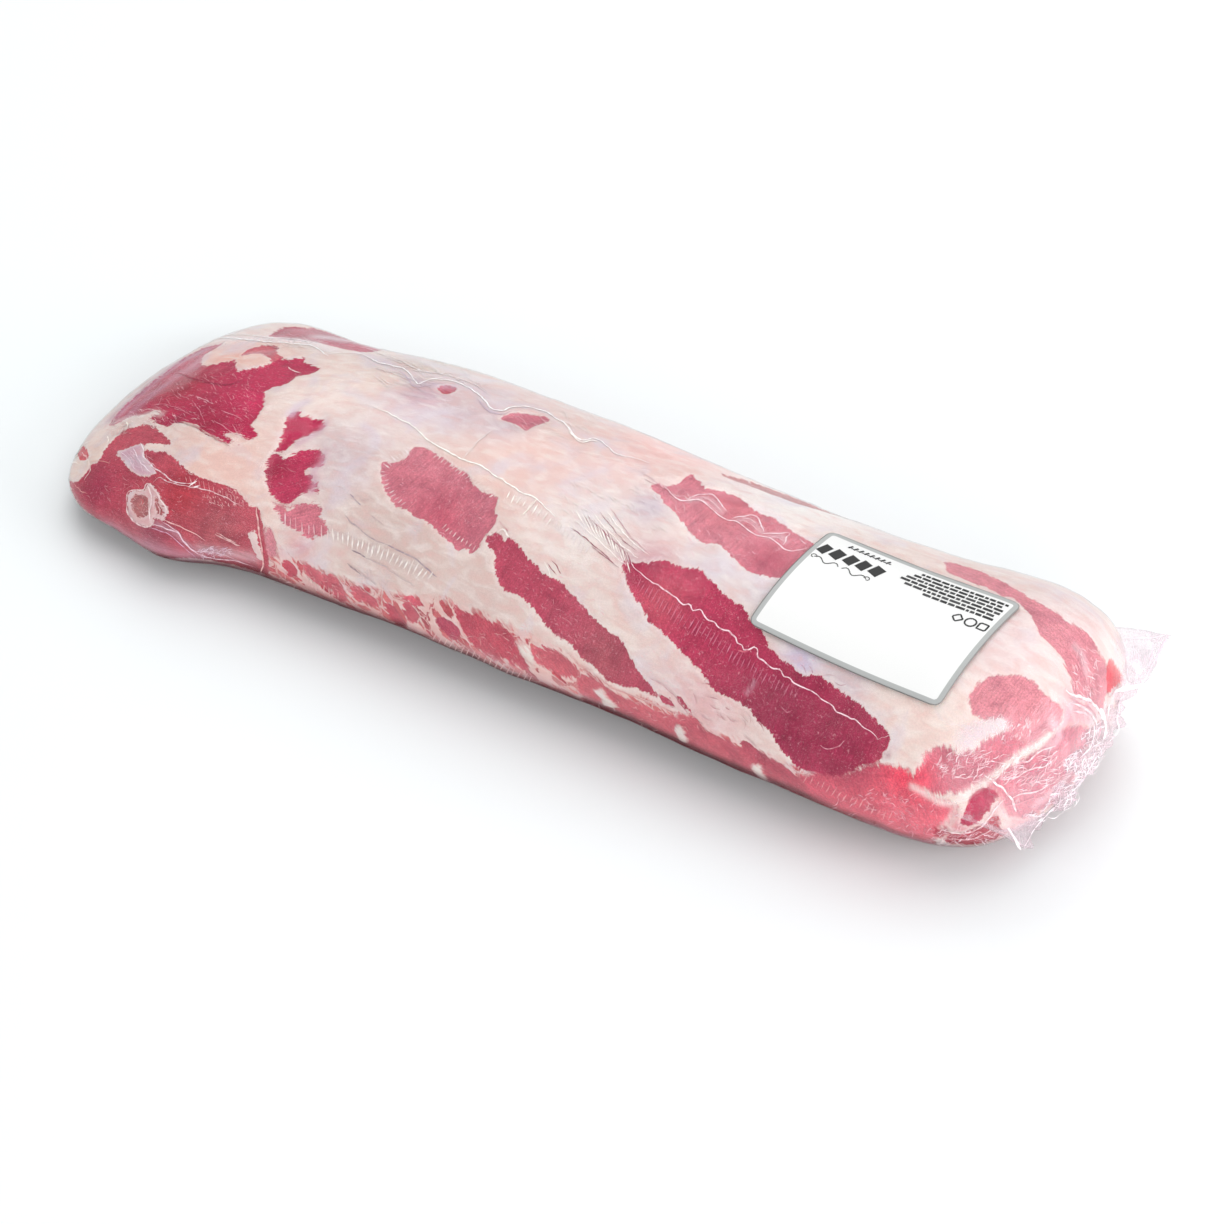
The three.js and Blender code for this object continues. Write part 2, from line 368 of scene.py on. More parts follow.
# The meat's tones. Every window, zone and veil further on names one of these.
meatTones = {
    # lean, from freshly cut to dull
    "crimson": "#bb2450",
    "scarlet": "#d8243c",
    "ruby": "#b41438",
    "garnet": "#b83a5a",
    "brick": "#c05060",
    "cherry": "#b64a60",
    "berry": "#c06074",
    "rose": "#cc6470",
    "dustyRose": "#ce7886",
    "paleRose": "#d28892",
    "coral": "#e06878",
    "dullRose": "#c07878",
    # lean, shaded or bright in places
    "magenta": "#d82860",
    "maroon": "#961436",
    "blood": "#9e1018",
    "plum": "#982a4a",
    "rust": "#a82830",
    "brown": "#a05c60",
    "dusk": "#7a384c",
    "vivid": "#f44460",
    # trimmed fat
    "cream": "#e8d4cc",
    "ivory": "#e4dad6",
    "chalk": "#decfc8",
    "snow": "#f6f6f6",
    "fair": "#dfcaca",
    "fawn": "#e4cac0",
    "blush": "#e2bcb2",
    "peach": "#eea894",
    "warmPink": "#f6b8b4",
    "rosyFat": "#d8bab8",
    "sand": "#ccb6a8",
    "dusky": "#ceb6b0",
    "softPink": "#d8a8ac",
    "flushed": "#d08c9a",
    "raw": "#c86678",
    # silverskin
    "silver": "#ccb9bd",
    "silverBlue": "#b8a8b8",
    "pearl": "#d0c4ca",
    "bluish": "#9ca2c0",
    "lavender": "#c0b6d4",
    "mauve": "#b890a8",
    "bruised": "#bc7488",
    # membrane and film over the meat, and painted sheen of the film
    "milk": "#e6dade",
    "haze": "#dcd2da",
    "lilac": "#ccbaca",
    "dustyPink": "#cca2b2",
    "seam": "#ecdcd8",
    "rosyFilm": "#e6d4da",
    "pinkHaze": "#dcb8c6",
}


def toneOf(name):
    return hexLinear(meatTones[name])


# Lean meat that shows through the fat.

# Each window: tone, direction of its fibres in degrees from the loin's length, raggedness of its
# edge in mm, and its outline as picture points.
leanWindows = {
    "crimsonShoulder": ("crimson", 4, 1.9, [(108, 425), (114, 414), (128, 400), (144, 386), (160, 373),
        (176, 361), (190, 351), (206, 344), (222, 341), (214, 347), (204, 352), (200, 357), (203, 364),
        (222, 361), (234, 359), (238, 370), (254, 366), (268, 362), (277, 355), (290, 357), (303, 356),
        (306, 361), (319, 367), (307, 373), (297, 374), (285, 382), (266, 388), (264, 396), (262, 405),
        (256, 416), (251, 425), (256, 435), (246, 438), (236, 432), (224, 430), (231, 440), (239, 444),
        (228, 443), (217, 437), (205, 432), (197, 425), (188, 422), (174, 421), (166, 425), (156, 421),
        (149, 416), (160, 411), (153, 409), (144, 413), (128, 416), (116, 422)]),
    "shoulderTip": ("rose", 4, 1.2, [(241, 354), (248, 347), (260, 343), (278, 343), (276, 349),
        (282, 357), (274, 359), (262, 352), (250, 352)]),
    "twinUpper": ("crimson", -38, 2.0, [(273, 450), (278, 444), (282, 432), (286, 420), (290, 410),
        (297, 408), (300, 414), (308, 414), (318, 417), (325, 421), (322, 428), (312, 430), (306, 434),
        (296, 438), (290, 444), (286, 449), (279, 450)]),
    "twinLower": ("garnet", -38, 2.2, [(265, 468), (267, 460), (272, 454), (278, 453), (282, 457),
        (292, 453), (300, 449), (316, 446), (320, 450), (324, 455), (323, 462), (318, 465), (308, 466),
        (303, 472), (310, 474), (313, 480), (318, 483), (317, 489), (308, 489), (298, 494), (292, 500),
        (284, 502), (276, 499), (269, 491), (265, 480)]),
    "pleatedPatch": ("dustyRose", -30, 2.2, [(272, 504), (280, 505), (288, 508), (296, 504), (306, 502),
        (316, 504), (320, 510), (318, 518), (324, 522), (325, 532), (314, 537), (308, 540), (300, 532),
        (290, 528), (282, 522), (276, 512)]),
    "roseOval": ("dustyRose", 105, 1.0, [(381, 461), (390, 461), (398, 460), (406, 455), (412, 447),
        (420, 445), (429, 448), (436, 453), (446, 459), (454, 466), (464, 470), (470, 477), (476, 486),
        (488, 493), (497, 496), (494, 509), (497, 516), (491, 527), (483, 537), (477, 548), (472, 554),
        (466, 549), (457, 549), (447, 540), (434, 528), (425, 520), (414, 516), (404, 508), (395, 505),
        (388, 495), (382, 483), (380, 471)]),
    "secondStripe": ("cherry", 100, 1.2, [(485, 541), (491, 534), (498, 532), (503, 539), (510, 538),
        (520, 547), (526, 557), (537, 565), (543, 573), (552, 578), (561, 582), (569, 592), (580, 603),
        (592, 617), (604, 629), (618, 638), (624, 649), (632, 664), (640, 677), (650, 689), (656, 697),
        (646, 696), (634, 690), (620, 688), (605, 681), (592, 667), (580, 659), (568, 643), (556, 637),
        (545, 626), (533, 609), (519, 596), (503, 589), (496, 577), (494, 564), (495, 554)]),
    "darkOval": ("garnet", 92, 1.3, [(622, 561), (635, 561), (647, 562), (660, 559), (672, 562),
        (683, 567), (695, 567), (706, 574), (716, 585), (728, 597), (743, 606), (750, 619), (761, 630),
        (768, 644), (777, 655), (791, 665), (803, 674), (815, 674), (828, 682), (844, 694), (862, 706),
        (875, 720), (889, 735), (886, 750), (877, 762), (862, 766), (849, 774), (836, 779), (824, 779),
        (812, 774), (800, 770), (788, 760), (778, 748), (769, 733), (757, 722), (744, 708), (727, 698),
        (712, 690), (700, 674), (686, 658), (673, 644), (660, 631), (649, 622), (640, 605), (630, 593),
        (625, 578)]),
    "upperStripe": ("dustyRose", 95, 1.0, [(651, 486), (658, 482), (668, 485), (679, 481), (689, 473),
        (699, 479), (706, 487), (722, 490), (742, 498), (757, 510), (777, 518), (794, 531), (812, 541),
        (830, 556), (818, 572), (796, 577), (778, 576), (762, 574), (744, 567), (730, 553), (717, 543),
        (702, 541), (688, 529), (678, 514), (666, 503), (659, 494)]),
    "ridgeWedge": ("dustyRose", 20, 0.6, [(499, 417), (507, 413), (517, 411), (530, 412), (541, 414),
        (551, 418), (541, 422), (533, 425), (526, 429), (516, 423)]),
    "ridgeDiamond": ("brick", 20, 0.6, [(437, 388), (445, 384), (457, 388), (446, 393)]),
    "farRidge": ("crimson", 20, 1.0, [(308, 338), (322, 336), (340, 338), (360, 341), (383, 347),
        (366, 350), (346, 347), (326, 342)]),
    "farStripe": ("paleRose", 14, 1.6, [(946, 560), (956, 561), (970, 566), (986, 572), (1002, 580),
        (1018, 588), (1030, 596), (1042, 604), (1056, 610), (1064, 616), (1076, 624), (1086, 630),
        (1096, 641), (1102, 652), (1108, 662), (1110, 676), (1112, 684), (1108, 696), (1106, 706),
        (1104, 716), (1098, 707), (1090, 700), (1082, 698), (1076, 692), (1074, 680), (1071, 672),
        (1066, 660), (1058, 650), (1050, 642), (1042, 636), (1036, 624), (1030, 613), (1022, 604),
        (1014, 597), (1002, 593), (990, 587), (976, 582), (966, 578), (956, 574), (948, 570)]),
    "endCorner": ("scarlet", 60, 1.4, [(1110, 662), (1114, 660), (1119, 667), (1125, 678), (1122, 683),
        (1116, 689), (1110, 694), (1109, 682)]),
    "roundEnd": ("paleRose", 95, 1.0, [(969, 698), (972, 690), (980, 682), (988, 677), (998, 674),
        (1010, 674), (1022, 675), (1032, 679), (1040, 686), (1046, 693), (1054, 699), (1062, 706),
        (1065, 716), (1060, 726), (1048, 736), (1034, 742), (1018, 740), (1010, 732), (1008, 724),
        (1002, 717), (990, 719), (982, 718), (974, 714), (970, 706)]),
    "endRose": ("dustyRose", 60, 2.6, [(922, 762), (925, 755), (933, 749), (942, 747), (952, 749),
        (956, 754), (967, 750), (976, 750), (984, 742), (994, 736), (1004, 731), (1012, 730), (1020, 738),
        (1034, 742), (1042, 740), (1038, 744), (1028, 750), (1018, 756), (1008, 762), (1000, 770),
        (990, 778), (980, 784), (970, 790), (958, 793), (946, 794), (936, 796), (924, 792), (916, 784),
        (914, 775)]),
    "sideMuscleEnd": ("coral", 60, 2.5, [(806, 776), (822, 772), (842, 775), (862, 767), (880, 764),
        (900, 768), (914, 777), (926, 791), (944, 800), (958, 806), (952, 822), (938, 836), (930, 850),
        (895, 842), (860, 826), (828, 812), (800, 800), (780, 786)]),
    "endBelow": ("dustyRose", 70, 2.4, [(984, 784), (996, 778), (1010, 768), (1026, 758), (1044, 746),
        (1058, 733), (1064, 730), (1074, 726), (1090, 728), (1094, 738), (1088, 752), (1082, 764),
        (1078, 776), (1070, 790), (1060, 802), (1046, 812), (1028, 820), (1012, 818), (1004, 806),
        (998, 795), (990, 788)]),
    "endSpotUpper": ("scarlet", 60, 1.2, [(1078, 731), (1086, 729), (1091, 734), (1090, 741), (1083, 744),
        (1079, 738)]),
    "endSpotMiddle": ("scarlet", 60, 1.4, [(1068, 752), (1076, 748), (1077, 756), (1072, 764), (1065, 762)]),
    "endSpotLower": ("scarlet", 60, 1.6, [(1040, 774), (1052, 776), (1058, 780), (1050, 788), (1042, 784)]),
    "cornerCrimson": ("crimson", 70, 1.0, [(976, 791), (986, 788), (999, 795), (994, 804), (986, 814),
        (980, 822), (970, 827), (960, 825), (964, 814), (968, 804), (971, 796)]),
    "cornerLow": ("ruby", 60, 1.3, [(974, 829), (984, 825), (994, 816), (998, 818), (1002, 830),
        (1008, 834), (998, 840), (982, 845), (966, 847), (950, 846), (944, 842), (952, 836), (964, 834)]),
    "cornerSpots": ("ruby", 60, 1.5, [(924, 832), (933, 826), (944, 827), (950, 836), (936, 840)]),
    "leftFace": ("brick", 6, 1.2, [(60, 500), (66, 482), (78, 478), (88, 466), (98, 460), (104, 449),
        (112, 440), (122, 431), (134, 425), (147, 423), (158, 429), (168, 438), (168, 444), (154, 442),
        (140, 443), (126, 447), (117, 452), (122, 460), (130, 470), (140, 475), (152, 474), (150, 464),
        (143, 455), (141, 447), (152, 450), (165, 450), (176, 460), (190, 472), (204, 478), (222, 484),
        (236, 490), (246, 501), (250, 507), (258, 508), (261, 525), (264, 545), (266, 575), (235, 568),
        (200, 562), (165, 560), (135, 550), (105, 535), (80, 520)]),
    "tipRed": ("scarlet", 30, 0.8, [(75, 453), (82, 445), (88, 456), (81, 459)]),
    "bandA": ("paleRose", 40, 1.8, [(263, 530), (270, 530), (276, 552), (270, 558), (264, 552)]),
    "bandB": ("brick", 40, 1.6, [(282, 562), (290, 563), (296, 572), (292, 580), (285, 574)]),
    "bandC": ("rose", 45, 2.2, [(300, 566), (309, 567), (320, 575), (331, 575), (338, 583), (343, 594),
        (347, 603), (338, 602), (328, 592), (316, 586), (306, 577)]),
    "bandD": ("rose", 40, 2.0, [(347, 590), (356, 587), (366, 595), (377, 603), (372, 608), (360, 604),
        (352, 599)]),
    "bandE": ("brick", 55, 1.8, [(383, 607), (391, 606), (399, 616), (406, 629), (397, 628), (387, 617)]),
    "bandF": ("rose", 55, 1.8, [(402, 601), (410, 606), (417, 616), (415, 625), (407, 621), (402, 611)]),
    "bandG": ("coral", 35, 1.4, [(401, 598), (410, 597), (420, 604), (420, 609), (410, 604)]),
    "bandH": ("cherry", 45, 1.4, [(434, 619), (443, 619), (456, 628), (459, 637), (451, 641), (441, 631)]),
    "bandI": ("brick", 45, 2.4, [(451, 603), (459, 610), (476, 617), (496, 624), (510, 634), (516, 645),
        (524, 661), (529, 672), (517, 668), (503, 660), (490, 661), (475, 650), (462, 634), (456, 618)]),
    "bandJ": ("rose", 45, 2.4, [(529, 650), (541, 648), (552, 651), (563, 658), (573, 668), (578, 681),
        (566, 680), (548, 672), (535, 663)]),
    "bandK": ("rose", 40, 3.0, [(576, 679), (590, 677), (603, 688), (616, 697), (634, 704), (652, 712),
        (668, 717), (690, 717), (705, 732), (722, 740), (735, 747), (752, 755), (765, 760), (780, 765),
        (795, 777), (807, 781), (818, 790), (818, 812), (760, 790), (700, 765), (640, 738), (600, 722),
        (580, 700)]),
    "bandL": ("rose", 40, 1.4, [(738, 746), (746, 743), (756, 752), (772, 764), (768, 770), (752, 764)]),
    "stripeTail": ("cherry", 50, 1.0, [(655, 697), (665, 699), (673, 709), (664, 706)]),
    "stripeTailTwo": ("cherry", 50, 0.8, [(675, 697), (680, 700), (690, 715), (683, 711)]),
}

# Half width in mm over which an edge fades; the others are cut sharp.
softEdges = {"endRose": 1.4, "endBelow": 2.4, "sideMuscleEnd": 1.6, "roundEnd": 0.8, "cornerLow": 1.0,
             "cornerSpots": 1.6, "farStripe": 0.7, "farRidge": 1.2, "bandI": 0.8, "bandJ": 0.8, "bandK": 1.2,
             "bandC": 0.7, "bandD": 0.7, "bandA": 1.0, "twinUpper": 0.6, "twinLower": 0.6,
             "pleatedPatch": 0.6, "endSpotUpper": 0.8, "endSpotMiddle": 0.8, "endSpotLower": 1.4,
             "endCorner": 0.8, "crimsonShoulder": 0.55, "ridgeWedge": 0.5}

# Islands of fat or membrane inside the lean: tone, raggedness and outline.
fatIslands = {
    "silverPatch": ("dustyPink", 1.4, [(116, 450), (127, 447), (140, 442), (143, 450), (144, 457),
        (153, 467), (154, 473), (140, 474), (132, 471), (128, 464), (121, 458), (119, 454)]),
    "silverEdge": ("fawn", 0.9, [(143, 445), (152, 442), (162, 442), (167, 446), (157, 447), (145, 448)]),
    "swirlRing": ("softPink", 1.1, [(127, 493), (132, 490), (143, 490), (146, 483), (150, 484),
        (158, 493), (160, 500), (167, 508), (165, 517), (160, 520), (153, 518), (152, 525), (143, 527),
        (138, 525), (133, 520), (128, 515), (126, 503)]),
    "corner": ("fawn", 0.8, [(86, 446), (93, 434), (104, 426), (112, 424), (122, 425), (112, 437),
        (104, 446), (98, 458), (90, 460)]),
    "cornerLow": ("fawn", 0.8, [(70, 462), (80, 460), (91, 461), (86, 470), (79, 478), (70, 480)]),
    "bandWhiteA": ("chalk", 0.8, [(515, 643), (523, 646), (531, 654), (533, 666), (524, 660)]),
    "bandWhiteB": ("chalk", 0.8, [(592, 693), (601, 692), (606, 700), (616, 710), (602, 708), (599, 701)]),
    "bandWhiteC": ("chalk", 0.8, [(673, 729), (680, 729), (685, 738), (686, 744), (678, 741)]),
    "bandWhiteD": ("chalk", 0.8, [(750, 769), (758, 767), (763, 777), (768, 784), (757, 778)]),
    "ovalFleck": ("brown", 0.6, [(882, 754), (888, 752), (889, 757), (884, 758)]),
    "faceIslet": ("rosyFat", 0.8, [(247, 534), (254, 532), (257, 545), (262, 560), (256, 560), (250, 545)]),
}

# Lean seen again inside those islands.
leanCores = {
    "swirlLeft": ("dullRose", [(131, 498), (135, 494), (141, 494), (146, 498), (147, 507), (146, 515),
        (140, 518), (134, 514), (130, 506)]),
    "swirlRight": ("dullRose", [(154, 496), (157, 499), (158, 504), (163, 509), (162, 514), (157, 513),
        (154, 506)]),
}

# The lower front edge, where trimmed fat and lean streaks mix.
marbledBand = [
    (262, 528), (275, 545), (300, 561), (335, 575), (365, 586), (400, 594), (440, 598), (470, 608),
    (510, 626), (555, 646), (585, 668), (620, 690), (660, 706), (705, 727), (745, 746), (790, 766),
    (835, 790), (835, 835), (700, 780), (600, 735), (500, 690), (400, 645), (300, 600), (262, 580)]

# Lean that isn't in the photo's view: station and length round the skin in mm, half lengths, turn.
hiddenWindows = [
    ("cherry", (-196, 78), (40, 19), 20),
    ("berry", (-92, 98), (62, 12), -9),
    ("cherry", (34, 92), (50, 17), 13),
    ("dullRose", (92, 58), (36, 8), 22),
    ("cherry", (150, 104), (44, 12), -6),
    ("dustyRose", (222, 84), (22, 15), -30),
]


def hiddenDistance(centre, halves, turn):
    # Distance in mm to an ellipse on the unrolled skin with three soft lobes round its rim, + inside it.
    angle = np.radians(turn)
    offset = chart - centre
    long = offset[:, 0] * np.cos(angle) + offset[:, 1] * np.sin(angle)
    wide = offset[:, 1] * np.cos(angle) - offset[:, 0] * np.sin(angle)
    bearing = np.arctan2(wide / halves[1], long / halves[0])
    lobes = 1 + 0.16 * np.sin(2 * bearing + turn) + 0.13 * np.sin(3 * bearing + 2 * turn)
    lobes = lobes + 0.05 * np.sin(7 * bearing)
    return (lobes - np.hypot(long / halves[0], wide / halves[1])) * halves[1]


def paintLean():
    # The largest distance over all windows, and the tone, raggedness and fibres of the nearest one.
    edge = np.full(len(skinPoints), farAway)
    tone = np.tile(toneOf("rose"), (len(skinPoints), 1))
    ragged = np.full(len(skinPoints), 1.5)
    turn = np.full(len(skinPoints), 30.0)
    soft = np.full(len(skinPoints), 0.35)
    found = [(outlineDistance(at), code, angle, rag, softEdges.get(name, 0.35))
             for name, (code, angle, rag, at) in leanWindows.items()]
    found += [(hiddenDistance(c, h, a), code, 15, 1.5, 0.6) for code, c, h, a in hiddenWindows]
    for distance, code, angle, rag, fade in found:
        wins = distance > edge
        edge[wins] = distance[wins]
        tone[wins] = toneOf(code)
        ragged[wins] = rag
        turn[wins] = angle
        soft[wins] = fade
    return edge, tone, ragged, turn, soft


leanEdge, leanTone, ragged, fibreTurn, softness = paintLean()
islandEdge = np.full(len(skinPoints), farAway)
islandTone = np.tile(hexLinear("#ecdcd4"), (len(skinPoints), 1))
for code, rag, at in fatIslands.values():
    islandDistance = outlineDistance(at)
    wins = islandDistance > islandEdge
    islandEdge[wins] = islandDistance[wins]
    islandTone[wins] = toneOf(code)
    ragged[islandDistance > -4] = rag
leanEdge = np.minimum(leanEdge, -islandEdge)
for code, at in leanCores.values():
    coreDistance = outlineDistance(at)
    leanTone[coreDistance > leanEdge] = toneOf(code)
    leanEdge = np.maximum(leanEdge, coreDistance)

# Out of the photo's view the lower band goes all the way round, and the underside is lean.
undersideTop = 20 + 7 * softNoise(skinPoints, 40, 3)
hiddenBand = np.where(facing, farAway, undersideTop - skinPoints[:, 2])
marbledEdge = np.minimum(np.maximum(outlineDistance(marbledBand), hiddenBand), -islandEdge)
print("lean windows", len(leanWindows) + len(hiddenWindows))

# Soft zones of colour on the fat: tone, picture point, radius in mm and strength.
fatBase = "#dec9c3"
fatZones = [
    ("blush", (215, 470), 45, 0.9),       # smooth fat beside the left face
    ("peach", (240, 350), 25, 0.8),
    ("cream", (360, 385), 45, 0.8),       # warm cream by the ridge
    ("silver", (345, 450), 26, 0.9),       # grey silverskin
    ("dusky", (400, 530), 40, 0.9),
    ("mauve", (425, 395), 18, 0.7),
    ("silverBlue", (465, 415), 16, 0.7),
    ("bluish", (505, 428), 12, 0.7),
    ("blush", (520, 460), 35, 0.8),
    ("rosyFat", (600, 480), 35, 0.7),
    ("ivory", (590, 520), 25, 0.8),
    ("silverBlue", (650, 505), 11, 0.8),
    ("pearl", (715, 565), 16, 0.8),
    ("pearl", (760, 590), 12, 0.8),
    ("bruised", (650, 560), 14, 0.6),
    ("softPink", (700, 710), 26, 0.7),
    ("lavender", (800, 660), 11, 0.8),
    ("silverBlue", (845, 690), 13, 0.7),
    ("cream", (960, 700), 40, 0.9),       # bright fat at the right end
    ("fair", (1010, 640), 35, 0.9),
    ("fair", (1080, 620), 30, 0.8),
    ("snow", (800, 500), 45, 0.6),
    ("warmPink", (680, 450), 35, 0.6),
    ("rosyFat", (520, 395), 30, 0.7),
    ("sand", (420, 362), 25, 0.7),
    ("cream", (290, 330), 25, 0.6),
    ("dusky", (480, 600), 25, 0.7),
    ("flushed", (1090, 708), 14, 0.8),
    ("flushed", (1070, 716), 10, 0.8),
    ("flushed", (1024, 822), 12, 0.7),
    ("raw", (960, 828), 8, 0.8),
    ("raw", (997, 804), 8, 0.8),
    ("raw", (300, 546), 7, 0.6),
]
# The same on the lean.
leanZones = [
    ("magenta", (252, 398), 12, 0.6),
    ("maroon", (205, 420), 16, 0.6),
    ("blood", (180, 385), 20, 0.5),
    ("maroon", (275, 470), 6, 0.6),
    ("crimson", (300, 455), 7, 0.5),
    ("cherry", (440, 515), 16, 0.7),
    ("cherry", (565, 590), 10, 0.6),
    ("brown", (600, 660), 16, 0.5),
    ("rose", (660, 600), 14, 0.6),
    ("garnet", (745, 620), 14, 0.7),
    ("plum", (780, 720), 32, 0.9),
    ("plum", (850, 740), 20, 0.8),
    ("plum", (800, 690), 10, 0.5),
    ("rose", (735, 510), 14, 0.6),
    ("garnet", (770, 560), 12, 0.6),
    ("plum", (95, 485), 16, 0.7),
    ("rust", (180, 495), 16, 0.6),
    ("brown", (215, 530), 16, 0.6),
    ("dusk", (150, 540), 14, 0.6),
    ("vivid", (910, 780), 12, 0.8),
    ("coral", (900, 820), 16, 0.6),
]


def blendZones(base, zones):
    # Each zone pulls the colour towards its own with a bell curve of the distance to its centre.
    tone = base.copy()
    for code, at, radius, strength in zones:
        centre, _ = onSkin(np.array([at], float))
        share = strength * np.exp(-(np.linalg.norm(skinPoints - centre, axis=1) / radius) ** 2)
        tone += (np.array(toneOf(code)) - tone) * share[:, None]
    return tone


fatTone = blendZones(np.tile(hexLinear(fatBase), (len(skinPoints), 1)), fatZones)
leanTone = blendZones(leanTone, leanZones)
nearIsland = smoothStep(-1.5, 1.0, islandEdge)[:, None]
fatTone += (islandTone - fatTone) * nearIsland
# Painted shade: low down on the band the fat darkens to a deep red, towards the floor.
bandShadeForm = {"tone": "#a85763", "share": 0.85, "heights": (34.0, 15.0), "edge": (-2.0, 4.0)}
bandShade = bandShadeForm["share"] * smoothStep(*bandShadeForm["heights"], skinPoints[:, 2])
bandShade *= smoothStep(*bandShadeForm["edge"], marbledEdge)
fatTone += (np.array(hexLinear(bandShadeForm["tone"])) - fatTone) * bandShade[:, None]

# Pale film and membrane lying over the meat, and painted sheen of the film: picture points, width in mm,
# strength.
veilAndSheenStrokes = [
    # painted sheen of the film over the left shoulder, in this stroke and the next two
    ("mauve", [(110, 418), (130, 398), (156, 376), (180, 358), (204, 346)], 5, 0.5),
    ("dustyPink", [(176, 372), (190, 364), (200, 356)], 6, 0.4),
    ("mauve", [(126, 414), (146, 396), (166, 380)], 4, 0.4),
    ("lilac", [(290, 412), (297, 405), (306, 400)], 3, 0.7),
    ("dustyPink", [(326, 420), (318, 430), (306, 437), (298, 442)], 2.2, 0.7),
    ("dustyPink", [(324, 452), (320, 462), (313, 470), (314, 480), (310, 490)], 2.4, 0.7),
    # painted sheen of the film along the back edge, in this stroke and the next four
    ("milk", [(225, 336), (262, 336), (300, 337), (330, 348)], 5, 0.7),
    ("haze", [(320, 333), (350, 338), (400, 352), (440, 366), (480, 380)], 6, 0.65),
    ("lilac", [(360, 352), (396, 366), (420, 382), (470, 388), (494, 410)], 4, 0.55),
    ("haze", [(410, 372), (450, 378), (480, 392), (500, 406)], 3.5, 0.6),
    ("haze", [(560, 424), (590, 436), (620, 452)], 4, 0.4),
    ("seam", [(106, 424), (120, 417), (136, 414), (150, 411), (160, 412)], 2.0, 0.6),
    ("milk", [(690, 498), (708, 496), (716, 503), (722, 510)], 1.8, 0.35),
    ("milk", [(738, 518), (750, 517), (757, 524), (762, 531)], 1.6, 0.35),
    ("milk", [(768, 535), (782, 534), (785, 540)], 1.6, 0.35),
    ("seam", [(912, 788), (930, 798), (942, 804), (956, 804), (966, 795)], 1.8, 0.9),
    ("seam", [(966, 794), (980, 786), (994, 776), (1008, 764), (1022, 754), (1038, 746),
        (1050, 736)], 1.7, 0.9),
    ("seam", [(1036, 750), (1046, 744), (1054, 736)], 2.2, 0.5),
    ("seam", [(956, 806), (951, 818), (944, 827), (940, 831)], 1.2, 0.75),
    ("seam", [(944, 831), (958, 834), (972, 830), (984, 822), (992, 810), (999, 799)], 0.9, 0.6),
    # painted sheen of the film over the right end
    ("rosyFilm", [(966, 744), (980, 734), (992, 726), (1004, 724)], 3.4, 0.45),
    ("rosyFilm", [(1056, 722), (1062, 738), (1052, 748)], 3, 0.5),
    ("rosyFilm", [(1040, 806), (1060, 790), (1078, 770), (1092, 752)], 5, 0.5),
    ("seam", [(1112, 650), (1124, 664), (1130, 680)], 7, 0.5),
    ("milk", [(1078, 645), (1086, 655), (1090, 672)], 2.2, 0.4),
    # painted light along the film's lower edge at the right end
    ("pinkHaze", [(860, 836), (900, 846), (940, 852), (980, 850)], 3, 0.55),
    ("lilac", [(155, 524), (172, 533), (186, 546), (200, 554), (222, 554)], 1.6, 0.35),
    ("milk", [(200, 552), (225, 556), (250, 560)], 4, 0.4),
    ("dustyPink", [(110, 532), (140, 546), (175, 558), (200, 562)], 6, 0.5),
    # a painted highlight
    ("dustyPink", [(744, 694), (749, 688), (753, 682)], 1.0, 0.5),
    ("milk", [(440, 640), (500, 664), (560, 690), (640, 728)], 3.5, 0.25),
]
veil = np.zeros(len(skinPoints))
veilTone = 0.001 * np.tile(hexLinear("#f7e9ec"), (len(skinPoints), 1))
veilWeight = np.full((len(skinPoints), 1), 0.001)
for code, at, width, strength in veilAndSheenStrokes:
    share = strength * strokeShare(at, width)
    veil = np.maximum(veil, share)
    veilTone += share[:, None] * np.array(toneOf(code))
    veilWeight += share[:, None]
veilTone /= veilWeight
endWrap = smoothStep(236, 262, skinPoints[:, 0]) * smoothStep(70, 45, skinPoints[:, 2])
veil = np.maximum(veil, 0.16 * endWrap)
# Painted shade where the pack meets the floor: the meat darkens towards the floor, and the film over it loses
# its gloss there.
rimForm = {
    "heights": (18.0, 8.0),         # mm over the floor where the shade starts and is full
    "frontRise": 7.0,               # on the front side it reaches this much higher
    "frontFrom": (0.2, -0.3),       # sideways part of the normal where the front side starts
    "leftEnd": (-140, -210, 0.5),   # stations and share by which it sinks at the left end
    "rightEnd": (110, 210, 0.35),   # stations and share by which it weakens at the right end
    "tint": (0.18, 0.09, 0.11, 1.0),
    # share of the film's gloss taken away over the painted shade
    "glossLost": 0.85,
}
frontRise = rimForm["frontRise"] * smoothStep(*rimForm["frontFrom"], skinNormals[:, 1])
leftFrom, leftFull, leftSink = rimForm["leftEnd"]
rightFrom, rightFull, rightLoss = rimForm["rightEnd"]
rimHeight = skinPoints[:, 2] * (1 + leftSink * smoothStep(leftFrom, leftFull, skinPoints[:, 0]))
rimTop, rimBottom = rimForm["heights"]
rimDark = smoothStep(rimTop + frontRise, rimBottom + frontRise, rimHeight)
rimDark *= 1 - rightLoss * smoothStep(rightFrom, rightFull, skinPoints[:, 0])
contactShade = 1 - rimDark[:, None] * (1 - np.array(rimForm["tint"]))
print("tones and veils painted")

# The label's place on the skin.

labelForm = {
    "size": (100.0, 70.0),
    "corner": 4.0,
    "thickness": 0.4,
    "lift": 0.35,
    "centre": (167.8, -12.9),       # station, and length from the top line
    "turn": -4.6,                   # degrees
    "border": 2.6,
    "steps": (120, 84),
}
labelTurn = np.radians(labelForm["turn"])


def labelOffset(points):
    # Offsets along and across the label of points on the unrolled skin.
    offset = points - labelForm["centre"]
    long = offset[:, 0] * np.cos(labelTurn) + offset[:, 1] * np.sin(labelTurn)
    wide = offset[:, 1] * np.cos(labelTurn) - offset[:, 0] * np.sin(labelTurn)
    return long, wide


